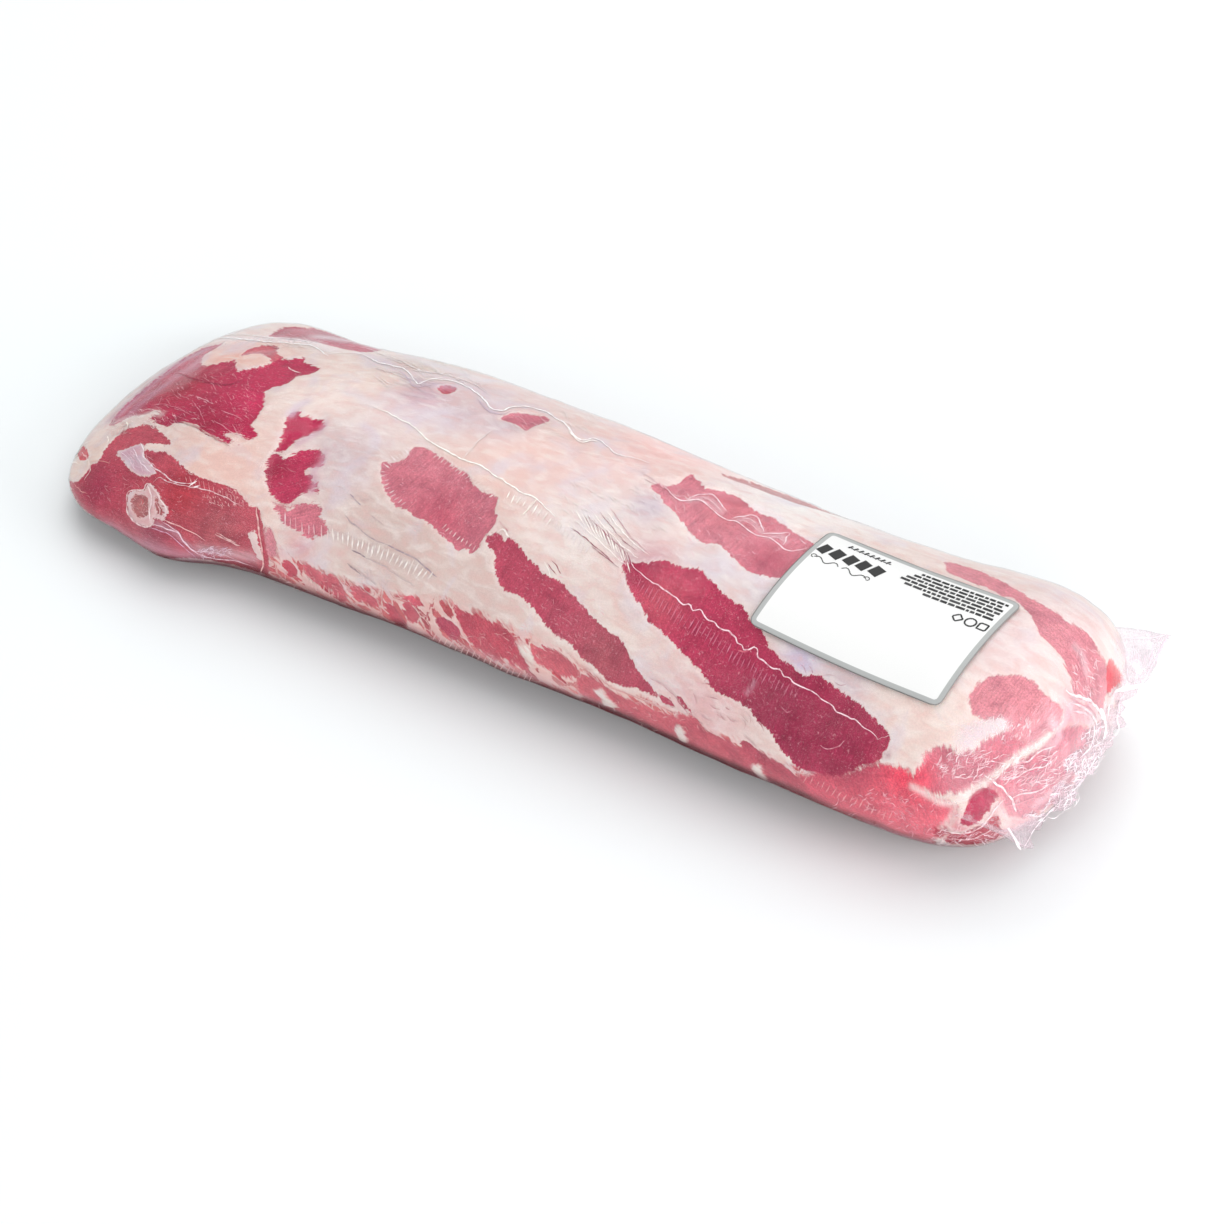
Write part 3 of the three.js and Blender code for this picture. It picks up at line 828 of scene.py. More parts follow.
def labelPoint(long, wide, lift):
    # Walks the section at each station from the top line by the length round the skin, then lifts.
    x = labelForm["centre"][0] + long * np.cos(labelTurn) - wide * np.sin(labelTurn)
    arc = labelForm["centre"][1] + long * np.sin(labelTurn) + wide * np.cos(labelTurn)
    sweep = np.radians(np.linspace(20, 175, 312))
    section = loinSkin(x[:, None], sweep[None, :])
    steps = np.linalg.norm(np.diff(section, axis=1), axis=2)
    walked = np.concatenate([np.zeros((len(x), 1)), np.cumsum(steps, axis=1)], axis=1)
    top = np.array([np.interp(np.pi / 2, sweep, row) for row in walked])
    angle = np.array([np.interp(t - a, row, sweep) for t, a, row in zip(top, arc, walked)])
    point = loinSkin(x, angle)
    along = loinSkin(x + 1, angle) - loinSkin(x - 1, angle)
    swing = loinSkin(x, angle + 0.02) - loinSkin(x, angle - 0.02)
    normal = np.cross(along, swing)
    normal /= np.linalg.norm(normal, axis=1, keepdims=True)
    normal *= np.sign(normal[:, 2:])
    return point + normal * lift


# The relief of the meat.

reliefForm = {
    "inset": 0.9,           # meat lies this far under the solid's skin
    "lump": (55.0, 0.9),    # cell size and height
    "ripple": (18.0, 0.45),
    "grainSize": (6.0, 0.16),
    "leanDip": 0.9,         # lean lies lower where fat was trimmed off
    "filmGap": 0.45,
}


def meatRelief():
    # Height over the inset skin: two sizes of soft lumps and a grain, less a dip over the lean.
    height = 0
    for seed, key in enumerate(("lump", "ripple", "grainSize")):
        size, tall = reliefForm[key]
        height = height + tall * softNoise(skinPoints, size, 11 + seed)
    height = height - reliefForm["leanDip"] * smoothStep(-1.2, 2.0, leanEdge)
    long, wide = labelOffset(chart)
    away = np.maximum(np.abs(long) - labelForm["size"][0] / 2, np.abs(wide) - labelForm["size"][1] / 2)
    height = np.where(height > 0, height * smoothStep(1, 10, away), height)
    return height * smoothStep(0.5, 14, skinPoints[:, 2])


relief = meatRelief() - reliefForm["inset"]


def closeGrid(values):
    # Adds the two tip points to per-point values of the loin's grid.
    tips = [values[:around].mean(axis=0), values[-around:].mean(axis=0)]
    return np.concatenate([values, np.array(tips).reshape(2, *values.shape[1:])])


def liftedSkin(height):
    points = skinPoints + skinNormals * height[:, None]
    points[:, 2] = np.maximum(points[:, 2], np.minimum(0.3, 0.3 + height))
    return points


# The meat itself.


def porkMaterial():
    # Chilled fresh pork: translucent lean muscle under trimmed fat and silverskin, cut and pulled off.
    # Its own gloss is low, as the film over it carries the shine.
    material, tree = newMaterial("freshPorkLoin")
    edge = addNode(tree, "Attribute", attribute_name="leanEdge").outputs["Fac"]
    marbled = addNode(tree, "Attribute", attribute_name="marbledEdge").outputs["Fac"]
    rag = addNode(tree, "Attribute", attribute_name="ragged").outputs["Fac"]
    soft = addNode(tree, "Attribute", attribute_name="softness").outputs["Fac"]
    veilShare = addNode(tree, "Attribute", attribute_name="veil").outputs["Fac"]
    veilColour = addNode(tree, "Attribute", attribute_name="veilTone").outputs["Color"]
    shade = addNode(tree, "Attribute", attribute_name="contactShade").outputs["Color"]
    lean = addNode(tree, "Attribute", attribute_name="leanTone").outputs["Color"]
    fat = addNode(tree, "Attribute", attribute_name="fatTone").outputs["Color"]
    fibre = addNode(tree, "Attribute", attribute_name="fibre").outputs["Vector"]
    chartPlace = addNode(tree, "Attribute", attribute_name="chartPlace").outputs["Vector"]
    place = addNode(tree, "TexCoord").outputs["Object"]

    # fibres are 0.8 mm wide and 12 mm long; the torn edge has 2.6 mm tufts
    fibreWay = addNode(tree, "Mapping", {"Vector": fibre, "Scale": (1 / 12, 1 / 0.8, 1)})
    fibreNoise = addNode(tree, "TexNoise", {"Vector": fibreWay.outputs[0], "Scale": 1.0,
                                            "Detail": 3.0, "Distortion": 0.8}).outputs["Fac"]
    tuftWay = addNode(tree, "Mapping", {"Vector": fibre, "Scale": (1 / 9, 1 / 2.6, 1)})
    tuftNoise = addNode(tree, "TexNoise", {"Vector": tuftWay.outputs[0], "Scale": 1.0,
                                           "Detail": 5.0, "Roughness": 0.6}).outputs["Fac"]
    combWay = addNode(tree, "Mapping", {"Vector": fibre, "Scale": (1 / 4.5, 1 / 0.75, 1)})
    combNoise = addNode(tree, "TexNoise", {"Vector": combWay.outputs[0], "Scale": 1.0,
                                           "Detail": 2.0}).outputs["Fac"]
    tuft = addNode(tree, "Math", {0: tuftNoise, 1: 0.5}, operation="SUBTRACT").outputs[0]
    comb = addNode(tree, "Math", {0: combNoise, 1: 0.5}, operation="SUBTRACT").outputs[0]
    bothTufts = addNode(tree, "Math", {0: comb, 1: 0.5, 2: tuft}, operation="MULTIPLY_ADD").outputs[0]
    shift = addNode(tree, "Math", {0: bothTufts, 1: rag}, operation="MULTIPLY").outputs[0]
    coarseTorn = addNode(tree, "Math", {0: shift, 1: 3.6, 2: edge}, operation="MULTIPLY_ADD").outputs[0]
    # nibbles of 2 mm and less round every edge
    nibbleNoise = addNode(tree, "TexNoise", {"Vector": place, "Scale": 1 / 0.0022, "Detail": 4.0,
                                             "Roughness": 0.75}).outputs["Fac"]
    nibble = addNode(tree, "Math", {0: nibbleNoise, 1: 0.5}, operation="SUBTRACT").outputs[0]
    torn = addNode(tree, "Math", {0: nibble, 1: 4.0, 2: coarseTorn}, operation="MULTIPLY_ADD").outputs[0]
    softly = addNode(tree, "Math", {0: torn, 1: soft}, operation="DIVIDE").outputs[0]
    leanShare = addNode(tree, "MapRange", {0: softly, 1: -1.0, 2: 1.0},
                        interpolation_type="SMOOTHSTEP").outputs[0]

    # marbled band: small muscle bundles, 10 x 4 mm, each wrapped in white membrane 0.6 mm thick
    bundleWay = addNode(tree, "Mapping", {"Vector": fibre, "Scale": (1 / 10, 1 / 4, 1)})
    waver = addNode(tree, "TexNoise", {"Vector": bundleWay.outputs[0], "Scale": 2.0, "Detail": 3.0})
    bent = addNode(tree, "VectorMath", {0: waver.outputs["Color"], 1: (0.7, 0.7, 0.0),
                                        2: bundleWay.outputs[0]}, operation="MULTIPLY_ADD").outputs[0]
    wrap = addNode(tree, "TexVoronoi", {"Vector": bent, "Scale": 1.0},
                   feature="DISTANCE_TO_EDGE").outputs["Distance"]
    bundle = addNode(tree, "TexVoronoi", {"Vector": bent, "Scale": 1.0}, feature="F1").outputs["Color"]
    kind = addNode(tree, "SeparateColor", {0: bundle})
    insideWrap = addNode(tree, "MapRange", {0: wrap, 1: 0.03, 2: 0.10}).outputs[0]
    leanKind = addNode(tree, "MapRange", {0: kind.outputs[0], 1: 0.34, 2: 0.42}).outputs[0]
    bandEdge = addNode(tree, "Math", {0: tuft, 1: 12.0, 2: marbled}, operation="MULTIPLY_ADD")
    bandShare = addNode(tree, "MapRange", {0: bandEdge.outputs[0], 1: -1.5, 2: 3.0}).outputs[0]
    bundles = addNode(tree, "Math", {0: insideWrap, 1: leanKind}, operation="MULTIPLY").outputs[0]
    bandLean = addNode(tree, "Math", {0: bundles, 1: bandShare}, operation="MULTIPLY").outputs[0]
    bandTone = addNode(tree, "Mix", {0: kind.outputs[1], 6: hexLinear("#b63b4b"), 7: hexLinear("#d37c7c")},
                       data_type="RGBA").outputs[2]
    leanHere = addNode(tree, "Mix", {0: leanShare, 6: bandTone, 7: lean}, data_type="RGBA").outputs[2]
    meatShare = addNode(tree, "Math", {0: leanShare, 1: bandLean}, operation="MAXIMUM").outputs[0]

    # lean: fine fibres, 4.5 mm mottling, a grain of 0.8 mm, duller patches 14 mm across, and pale flecks
    fibreLight = addNode(tree, "MapRange", {0: fibreNoise, 1: 0.25, 2: 0.75, 3: 0.84, 4: 1.16})
    mottle = addNode(tree, "TexNoise", {"Vector": place, "Scale": 1 / 0.0045, "Detail": 5.0,
                                        "Roughness": 0.7}).outputs["Fac"]
    mottleLight = addNode(tree, "MapRange", {0: mottle, 1: 0.25, 2: 0.75, 3: 0.87, 4: 1.13})
    grain = addNode(tree, "TexNoise", {"Vector": place, "Scale": 1 / 0.0008, "Detail": 2.0}).outputs["Fac"]
    grainLight = addNode(tree, "MapRange", {0: grain, 1: 0.3, 2: 0.7, 3: 0.82, 4: 1.18})
    bothLight = addNode(tree, "Math", {0: fibreLight.outputs[0], 1: mottleLight.outputs[0]},
                        operation="MULTIPLY").outputs[0]
    allLight = addNode(tree, "Math", {0: bothLight, 1: grainLight.outputs[0]},
                       operation="MULTIPLY").outputs[0]
    leanShade = addNode(tree, "Mix", {0: 1.0, 6: leanHere, 7: allLight},
                        data_type="RGBA", blend_type="MULTIPLY").outputs[2]
    patch = addNode(tree, "TexNoise", {"Vector": place, "Scale": 1 / 0.014, "Detail": 4.0,
                                       "Distortion": 0.8}).outputs["Fac"]
    dull = addNode(tree, "MapRange", {0: patch, 1: 0.45, 2: 0.68, 4: 0.55}).outputs[0]
    leanPatched = addNode(tree, "Mix", {0: dull, 6: leanShade, 7: hexLinear("#cbbac7")},
                          data_type="RGBA", blend_type="MULTIPLY").outputs[2]
    fleckNoise = addNode(tree, "TexNoise", {"Vector": place, "Scale": 1 / 0.0011, "Detail": 3.0,
                                            "Distortion": 1.0}).outputs["Fac"]
    fleck = addNode(tree, "MapRange", {0: fleckNoise, 1: 0.61, 2: 0.7, 4: 0.55}).outputs[0]
    leanFinal = addNode(tree, "Mix", {0: fleck, 6: leanPatched, 7: hexLinear("#d991a0")},
                        data_type="RGBA").outputs[2]

    # fat: soft strokes 5 mm wide and 11 mm long left by the knife, some whiter, some pinker
    strokeWay = addNode(tree, "Mapping", {"Vector": chartPlace, "Rotation": (0, 0, np.radians(16)),
                                          "Scale": (1 / 11, 1 / 5, 1)})
    stroke = addNode(tree, "TexNoise", {"Vector": strokeWay.outputs[0], "Scale": 1.0, "Detail": 5.0,
                                        "Roughness": 0.5, "Distortion": 0.5}).outputs["Fac"]
    whiter = addNode(tree, "MapRange", {0: stroke, 1: 0.48, 2: 0.74, 4: 0.5}).outputs[0]
    fatWhite = addNode(tree, "Mix", {0: whiter, 6: fat, 7: hexLinear("#ede5e1")},
                       data_type="RGBA").outputs[2]
    pinker = addNode(tree, "MapRange", {0: stroke, 1: 0.5, 2: 0.28, 4: 0.45}).outputs[0]
    fatPinker = addNode(tree, "Mix", {0: pinker, 6: fatWhite, 7: hexLinear("#daada7")},
                        data_type="RGBA").outputs[2]
    # silverskin: bluish patches 25 mm across, seen only where a second noise lets them through
    cloud = addNode(tree, "TexNoise", {"Vector": place, "Scale": 1 / 0.025, "Detail": 5.0,
                                       "Distortion": 0.7}).outputs["Fac"]
    bluish = addNode(tree, "MapRange", {0: cloud, 1: 0.53, 2: 0.68, 4: 0.55}).outputs[0]
    fatCloud = addNode(tree, "Mix", {0: bluish, 6: fatPinker, 7: hexLinear("#d2c6d0")},
                       data_type="RGBA").outputs[2]
    bandPink = addNode(tree, "Math", {0: bandShare, 1: 0.45}, operation="MULTIPLY").outputs[0]
    fatPink = addNode(tree, "Mix", {0: bandPink, 6: fatCloud, 7: hexLinear("#e0a7a2")},
                      data_type="RGBA").outputs[2]
    rimLow = addNode(tree, "MapRange", {0: torn, 1: -2.2, 2: -0.5, 4: 0.4}).outputs[0]
    fatRim = addNode(tree, "Mix", {0: rimLow, 6: fatPink, 7: hexLinear("#e7d6d3")},
                     data_type="RGBA").outputs[2]
    fatGrain = addNode(tree, "MapRange", {0: grain, 1: 0.3, 2: 0.7, 3: 0.95, 4: 1.05}).outputs[0]
    fatFinal = addNode(tree, "Mix", {0: 1.0, 6: fatRim, 7: fatGrain}, data_type="RGBA",
                       blend_type="MULTIPLY").outputs[2]

    meat = addNode(tree, "Mix", {0: meatShare, 6: fatFinal, 7: leanFinal}, data_type="RGBA").outputs[2]
    # the veil is membrane and pale film, and in places painted sheen of the film
    veilStreak = addNode(tree, "MapRange", {0: fibreNoise, 1: 0.3, 2: 0.7, 3: 0.7, 4: 1.15})
    veilFinal = addNode(tree, "Math", {0: veilShare, 1: veilStreak.outputs[0]},
                        operation="MULTIPLY", use_clamp=True).outputs[0]
    veiled = addNode(tree, "Mix", {0: veilFinal, 6: meat, 7: veilColour}, data_type="RGBA").outputs[2]
    surface = addNode(tree, "Mix", {0: 1.0, 6: veiled, 7: shade}, data_type="RGBA",
                      blend_type="MULTIPLY").outputs[2]

    heightMix = addNode(tree, "Math", {0: meatShare, 1: -0.5, 2: stroke}, operation="MULTIPLY_ADD")
    heightFine = addNode(tree, "Math", {0: mottle, 1: 0.4, 2: heightMix.outputs[0]},
                         operation="MULTIPLY_ADD")
    bump = addNode(tree, "Bump", {"Height": heightFine.outputs[0], "Strength": 0.4, "Distance": 0.0007})
    skinShader = addNode(tree, "BsdfPrincipled", {
        "Base Color": surface, "Roughness": 0.55, "Specular IOR Level": 0.15, "Normal": bump.outputs[0],
        "Subsurface Weight": 0.1, "Subsurface Scale": 0.004})
    addNode(tree, "OutputMaterial", {"Surface": skinShader.outputs[0]})
    return material


def fibreCoordinates():
    # The unrolled skin turned so that the first coordinate runs along each window's fibres.
    turn = np.radians(fibreTurn)
    along = chart[:, 0] * np.cos(turn) - chart[:, 1] * np.sin(turn)
    across = chart[:, 0] * np.sin(turn) + chart[:, 1] * np.cos(turn)
    return np.stack([along, across, np.zeros_like(along)], -1)


meatPoints = liftedSkin(relief)
porkLoin = makePiece("pork_loin", closeGrid(meatPoints), tubeFaces(rings, around), porkMaterial())
for attributeName, values in {
    "leanEdge": leanEdge,
    "marbledEdge": marbledEdge,
    "ragged": ragged,
    "softness": softness,
    "veil": veil,
    "veilTone": veilTone,
    "contactShade": contactShade,
    "leanTone": leanTone,
    "fatTone": fatTone,
    "fibre": fibreCoordinates(),
    "chartPlace": np.concatenate([chart, np.zeros((len(chart), 1))], axis=1),
}.items():
    giveAttribute(porkLoin, attributeName, closeGrid(values))
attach(porkLoin, "root")
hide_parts("sealed_bag")
print("meat", len(porkLoin.data.polygons), "faces")

# The film round it.


def castNoShadow(tree, shader):
    # Thin film passes nearly all light on to what lies under it, so it throws no shadow.
    shadowRay = addNode(tree, "LightPath").outputs["Is Shadow Ray"]
    clear = addNode(tree, "BsdfTransparent").outputs[0]
    return addNode(tree, "MixShader", {0: shadowRay, 1: shader, 2: clear}).outputs[0]


def filmMaterial(name, tone, haze, wrinkle):
    # Clear co-extruded pouch film, shrunk tight by the vacuum: a thin sharp gloss, and whitish
    # crease lines where it is crumpled.
    material, tree = newMaterial(name)
    place = addNode(tree, "TexCoord").outputs["Object"]
    crumpled = addNode(tree, "Attribute", attribute_name="crumpled").outputs["Fac"]
    # creases 9 mm and 3.5 mm apart: thin lines where the noise passes through its middle value
    coarse = addNode(tree, "TexNoise", {"Vector": place, "Scale": 1 / 0.009, "Detail": 2.0,
                                        "Distortion": 0.9}).outputs["Fac"]
    fine = addNode(tree, "TexNoise", {"Vector": place, "Scale": 1 / 0.0035, "Detail": 3.0,
                                      "Distortion": 1.4}).outputs["Fac"]
    lines = []
    for noise, width in ((coarse, 0.022), (fine, 0.035)):
        offset = addNode(tree, "Math", {0: noise, 1: 0.5}, operation="SUBTRACT").outputs[0]
        distance = addNode(tree, "Math", {0: offset}, operation="ABSOLUTE").outputs[0]
        lines.append(addNode(tree, "MapRange", {0: distance, 1: 0.0, 2: width, 3: 1.0, 4: 0.0}).outputs[0])
    bothLines = addNode(tree, "Math", {0: lines[1], 1: 0.55, 2: lines[0]},
                        operation="MULTIPLY_ADD").outputs[0]
    cloud = addNode(tree, "Math", {0: bothLines, 1: 0.75, 2: 0.12}, operation="MULTIPLY_ADD").outputs[0]
    cloudy = addNode(tree, "Math", {0: cloud, 1: crumpled}, operation="MULTIPLY").outputs[0]
    total = addNode(tree, "Math", {0: cloudy, 1: haze}, operation="ADD", use_clamp=True).outputs[0]
    height = addNode(tree, "Math", {0: fine, 1: 0.5, 2: coarse}, operation="MULTIPLY_ADD").outputs[0]
    bump = addNode(tree, "Bump", {"Height": height, "Strength": wrinkle, "Distance": 0.001})
    clear = addNode(tree, "BsdfTransparent")
    gloss = addNode(tree, "BsdfAnisotropic", {"Roughness": 0.16, "Normal": bump.outputs[0]})
    mirror = addNode(tree, "Fresnel", {"IOR": 1.33, "Normal": bump.outputs[0]}).outputs[0]
    capped = addNode(tree, "Math", {0: mirror, 1: 0.3}, operation="MINIMUM").outputs[0]
    # the film loses its gloss over the painted shade at the low rim, so the rim stays dark
    shadedRim = addNode(tree, "Attribute", attribute_name="shadedRim").outputs["Fac"]
    unshadedRim = addNode(tree, "Math", {0: 1.0, 1: shadedRim}, operation="SUBTRACT").outputs[0]
    mirrored = addNode(tree, "Math", {0: capped, 1: unshadedRim}, operation="MULTIPLY").outputs[0]
    glazed = addNode(tree, "MixShader", {0: mirrored, 1: clear.outputs[0], 2: gloss.outputs[0]})
    milky = addNode(tree, "BsdfPrincipled", {"Base Color": hexLinear(tone), "Roughness": 0.3,
                                             "Normal": bump.outputs[0]})
    through = addNode(tree, "BsdfTranslucent", {"Color": hexLinear(tone), "Normal": bump.outputs[0]})
    scattered = addNode(tree, "MixShader", {0: 0.5, 1: milky.outputs[0], 2: through.outputs[0]})
    surface = addNode(tree, "MixShader", {0: total, 1: glazed.outputs[0], 2: scattered.outputs[0]})
    addNode(tree, "OutputMaterial", {"Surface": castNoShadow(tree, surface.outputs[0])})
    return material


filmPoints = liftedSkin(relief + reliefForm["filmGap"])


def meatColour():
    # The colour under the film at each skin point, without the fine patterns of the material.
    inside = smoothStep(-0.6, 0.6, leanEdge)[:, None]
    tone = fatTone + (leanTone - fatTone) * inside
    band = 0.5 * smoothStep(-1, 2, marbledEdge)[:, None] * (1 - inside)
    tone = tone + (np.array(hexLinear("#d87a80")) - tone) * band
    tone = tone + (veilTone - tone) * veil[:, None]
    return tone * contactShade


filmSurface = makeSurface(filmPoints, skinNormals, meatColour())

# Where the film is crumpled: picture points, width in mm, strength.
crumpledStrokes = [
    ([(1000, 820), (1030, 790), (1060, 765), (1085, 745), (1105, 720)], 15, 0.6),
    ([(960, 800), (1000, 780), (1040, 755), (1075, 735)], 12, 0.45),
    ([(1075, 695), (1095, 700), (1112, 715)], 7, 0.4),
    ([(950, 770), (980, 745), (1010, 735)], 8, 0.4),
    ([(960, 735), (985, 725), (1010, 722)], 7, 0.35),
    ([(1115, 640), (1125, 660), (1118, 690)], 6, 0.4),
    ([(900, 815), (930, 830), (965, 835), (1000, 835)], 9, 0.35),
    ([(180, 365), (215, 345), (260, 338), (310, 340)], 6, 0.35),
    ([(380, 352), (420, 370), (480, 385)], 6, 0.25),
]


def makeFilm():
    # The meat's own surface again, half a millimetre further out.
    columns = around // 2
    points = closeGrid(filmPoints).reshape(-1, 3)
    keep = np.arange(rings * around).reshape(rings, around)[:, ::2].ravel()
    keep = np.concatenate([keep, [rings * around, rings * around + 1]])
    crumpled = 0.35 * endWrap
    for at, width, strength in crumpledStrokes:
        crumpled = np.maximum(crumpled, strength * strokeShare(at, width))
    film = makePiece("bag_film", points[keep], tubeFaces(rings, columns),
                     filmMaterial("vacuumPouchFilm", "#f2e6eb", 0.0, 0.18))
    giveAttribute(film, "crumpled", closeGrid(crumpled)[keep])
    giveAttribute(film, "shadedRim", closeGrid(rimForm["glossLost"] * rimDark)[keep])
    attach(film, "root")


makeFilm()
print("film")

# The crumpled tail of the bag.

tailForm = {
    "root": [(238, -66, 40), (243, -50, 50), (250, -32, 55), (257, -13, 56), (260, 6, 56), (261, 26, 55),
             (256, 44, 57), (244, 60, 60)],
    "edge": [(260, -40, 8), (261, -29, 12), (267, -10, 18), (271, 13, 26), (272, 29, 34), (269, 39, 39),
             (273, 54, 43), (272, 82, 49)],
    "layerGap": 0.5,
    "sink": 5.0,
    "arch": 0.12,
    "archLift": 0.6,
    "creases": 9.0,
    "crossCreases": 5.4,
    "crossShare": 0.35,
    "crossRun": 7.0,
    "waver": 2.2,
    "creaseDepth": 2.6,
    "rootCrumple": 0.35,
    "flatFrom": (0.74, 0.9),        # share of the width over which the creases calm down into a flat wing
    "wingCrumple": 0.3,
    "crumple": ((11.0, 1.5), (4.5, 0.8)),     # cell size and height of the sharp crumples
    "ragged": 1.6,
    "steps": (330, 92),
    "seen": "#ecd2dc",              # the tail's colour where the meat shines through
}


def tailSheet(across, down, lift=0.0, seed=60):
    # A ruled sheet from the root curve to the edge curve, arched outwards between them, folded by two
    # crossing sine creases that fade towards the root, and crumpled by noise folded at its middle value.
    form = tailForm
    root = smoothThrough(form["root"], across)
    edge = smoothThrough(form["edge"], across)
    fall = edge - root
    reach = np.linalg.norm(fall, axis=-1, keepdims=True)
    inward = -fall / reach * form["sink"]
    down = down[..., None]
    point = root + inward + (fall - inward) * down
    swell = form["arch"] * np.sin(np.pi * np.clip(down, 0, 1)) * reach
    point = point + swell * np.array([1.0, 0, form["archLift"]])
    alongWidth = smoothThrough(form["root"], np.clip(across + 0.01, 0, 1))
    alongWidth = alongWidth - smoothThrough(form["root"], np.clip(across - 0.01, 0, 1))
    normal = np.cross(fall, alongWidth)
    normal = normal / np.linalg.norm(normal, axis=-1, keepdims=True)
    a, d = across[..., None], down
    wave = (1 - form["crossShare"]) * np.sin(2 * np.pi * form["creases"] * a
                                             + form["waver"] * np.sin(5 * a + 3 * d))
    wave = wave + form["crossShare"] * np.sin(2 * np.pi * form["crossCreases"] * a - form["crossRun"] * d)
    fade = form["rootCrumple"] + (1 - form["rootCrumple"]) * d
    fade = fade * (1 - (1 - form["wingCrumple"]) * smoothStep(*form["flatFrom"], a))
    height = form["creaseDepth"] * wave * fade
    for step, (size, tall) in enumerate(form["crumple"]):
        sharp = 1 - 2 * np.abs(softNoise(point, size, seed + step))
        height = height + tall * (sharp[..., None] - 0.4) * fade
    return point + normal * (height + lift)


def makeTail():
    # Two layers of film, sealed together at the far edge: down one side of the sheet and back up the other.
    rows, steps = tailForm["steps"]
    across = np.linspace(0, 1, rows)[:, None] + np.zeros((1, steps))
    down = np.linspace(0, 1, steps)[None, :] + np.zeros((rows, 1))
    edgeNoise = softNoise(tailSheet(across[:, -1:], down[:, -1:]), 5.0, 77)
    down = down * (1 + 0.035 * tailForm["ragged"] * edgeNoise)
    gap = tailForm["layerGap"] * np.sin(np.pi * np.clip(down, 0.02, 1)) ** 0.5
    outer = tailSheet(across, down)
    inner = tailSheet(across, down, seed=60)
    normal = tailSheet(across, down, lift=1.0) - outer
    inner = inner - normal * (0.15 + gap[..., None])
    sheet = np.concatenate([outer, inner[:, ::-1]], axis=1)
    around_ = sheet.shape[1]
    points = sheet.reshape(-1, 3)
    points = np.concatenate([points, sheet[:1].mean(1), sheet[-1:].mean(1)])
    tail = makePiece("bag_tail", points, tubeFaces(rows, around_),
                     filmMaterial("crumpledPouchFilm", "#e6d8df", 0.2, 0.35))
    # clearer over the meat and in the flat wing, milkier towards the sealed edge
    milk = (0.3 + 0.6 * smoothStep(0.2, 0.95, down)) * (1 - 0.3 * smoothStep(0.8, 0.95, across))
    milk = np.concatenate([milk, milk[:, ::-1]], axis=1).ravel()
    giveAttribute(tail, "crumpled", np.concatenate([milk, milk[:1], milk[-1:]]))
    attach(tail, "root")
    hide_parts("sealed_bag")
    toEye = eye - outer
    outward = np.where(np.sum(normal * toEye, axis=-1, keepdims=True) < 0, -normal, normal)
    outward = outward / np.linalg.norm(outward, axis=-1, keepdims=True)
    under = np.tile(hexLinear(tailForm["seen"]), (rows * steps, 1))
    return makeSurface((outer + 0.3 * outward).reshape(-1, 3), outward.reshape(-1, 3), under)


tailSurface = makeTail()
print("tail")

# Pleats and creases in the film.


def walkEvenly(step, path, *others):
    # The same path, and what goes with it, with its points a fixed length apart.
    walked = np.concatenate([[0], np.cumsum(np.linalg.norm(np.diff(path, axis=0), axis=1))])
    count = max(int(walked[-1] / step), 3) + 1
    at = np.linspace(0, walked[-1], count)
    return [np.stack([np.interp(at, walked, column) for column in part.T], 1) for part in (path, *others)]


def carryProfile(path, normals, profile, size):
    # A closed profile carried along a path. Each of its points is set off sideways and along the normal,
    # times the size at that point of the path; both ends close to a tip.
    tangent = np.gradient(path, axis=0)
    sideways = np.cross(normals, tangent)
    sideways /= np.maximum(np.linalg.norm(sideways, axis=1, keepdims=True), 1e-9)
    offset = sideways[:, None] * profile[None, :, :1] + normals[:, None] * profile[None, :, 1:]
    rows = path[:, None] + offset * size[:, None, None]
    return np.concatenate([rows.reshape(-1, 3), path[:1], path[-1:]]), tubeFaces(len(path), len(profile))


class StripSet:
    # Gathers many strips into one mesh, each with its own tone and strength.
    def __init__(self):
        self.points, self.faces, self.tones, self.shares, self.total = [], [], [], [], 0
        self.normals, self.unders = [], []

    def add(self, points, faces, tone, share, normals, under):
        # the surface's own normal and colour at each row of the strip, and at its two tips
        around_ = (len(points) - 2) // len(normals)
        for kept, rows in ((self.normals, normals), (self.unders, under)):
            kept.append(np.concatenate([np.repeat(rows, around_, axis=0), rows[:1], rows[-1:]]))
        self.points.append(points)
        self.faces += [tuple(i + self.total for i in face) for face in faces]
        self.tones.append(np.tile(hexLinear(tone), (len(points), 1)))
        self.shares.append(np.full(len(points), float(share)))
        self.total += len(points)

    def build(self, name, material):
        piece = makePiece(name, np.concatenate(self.points), self.faces, material)
        piece.data.polygons.foreach_set("use_smooth", np.zeros(len(self.faces), bool))
        giveAttribute(piece, "tone", np.concatenate(self.tones))
        giveAttribute(piece, "share", np.concatenate(self.shares))
        giveAttribute(piece, "layNormal", np.concatenate(self.normals))
        giveAttribute(piece, "under", np.concatenate(self.unders))
        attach(piece, "root")
        return piece


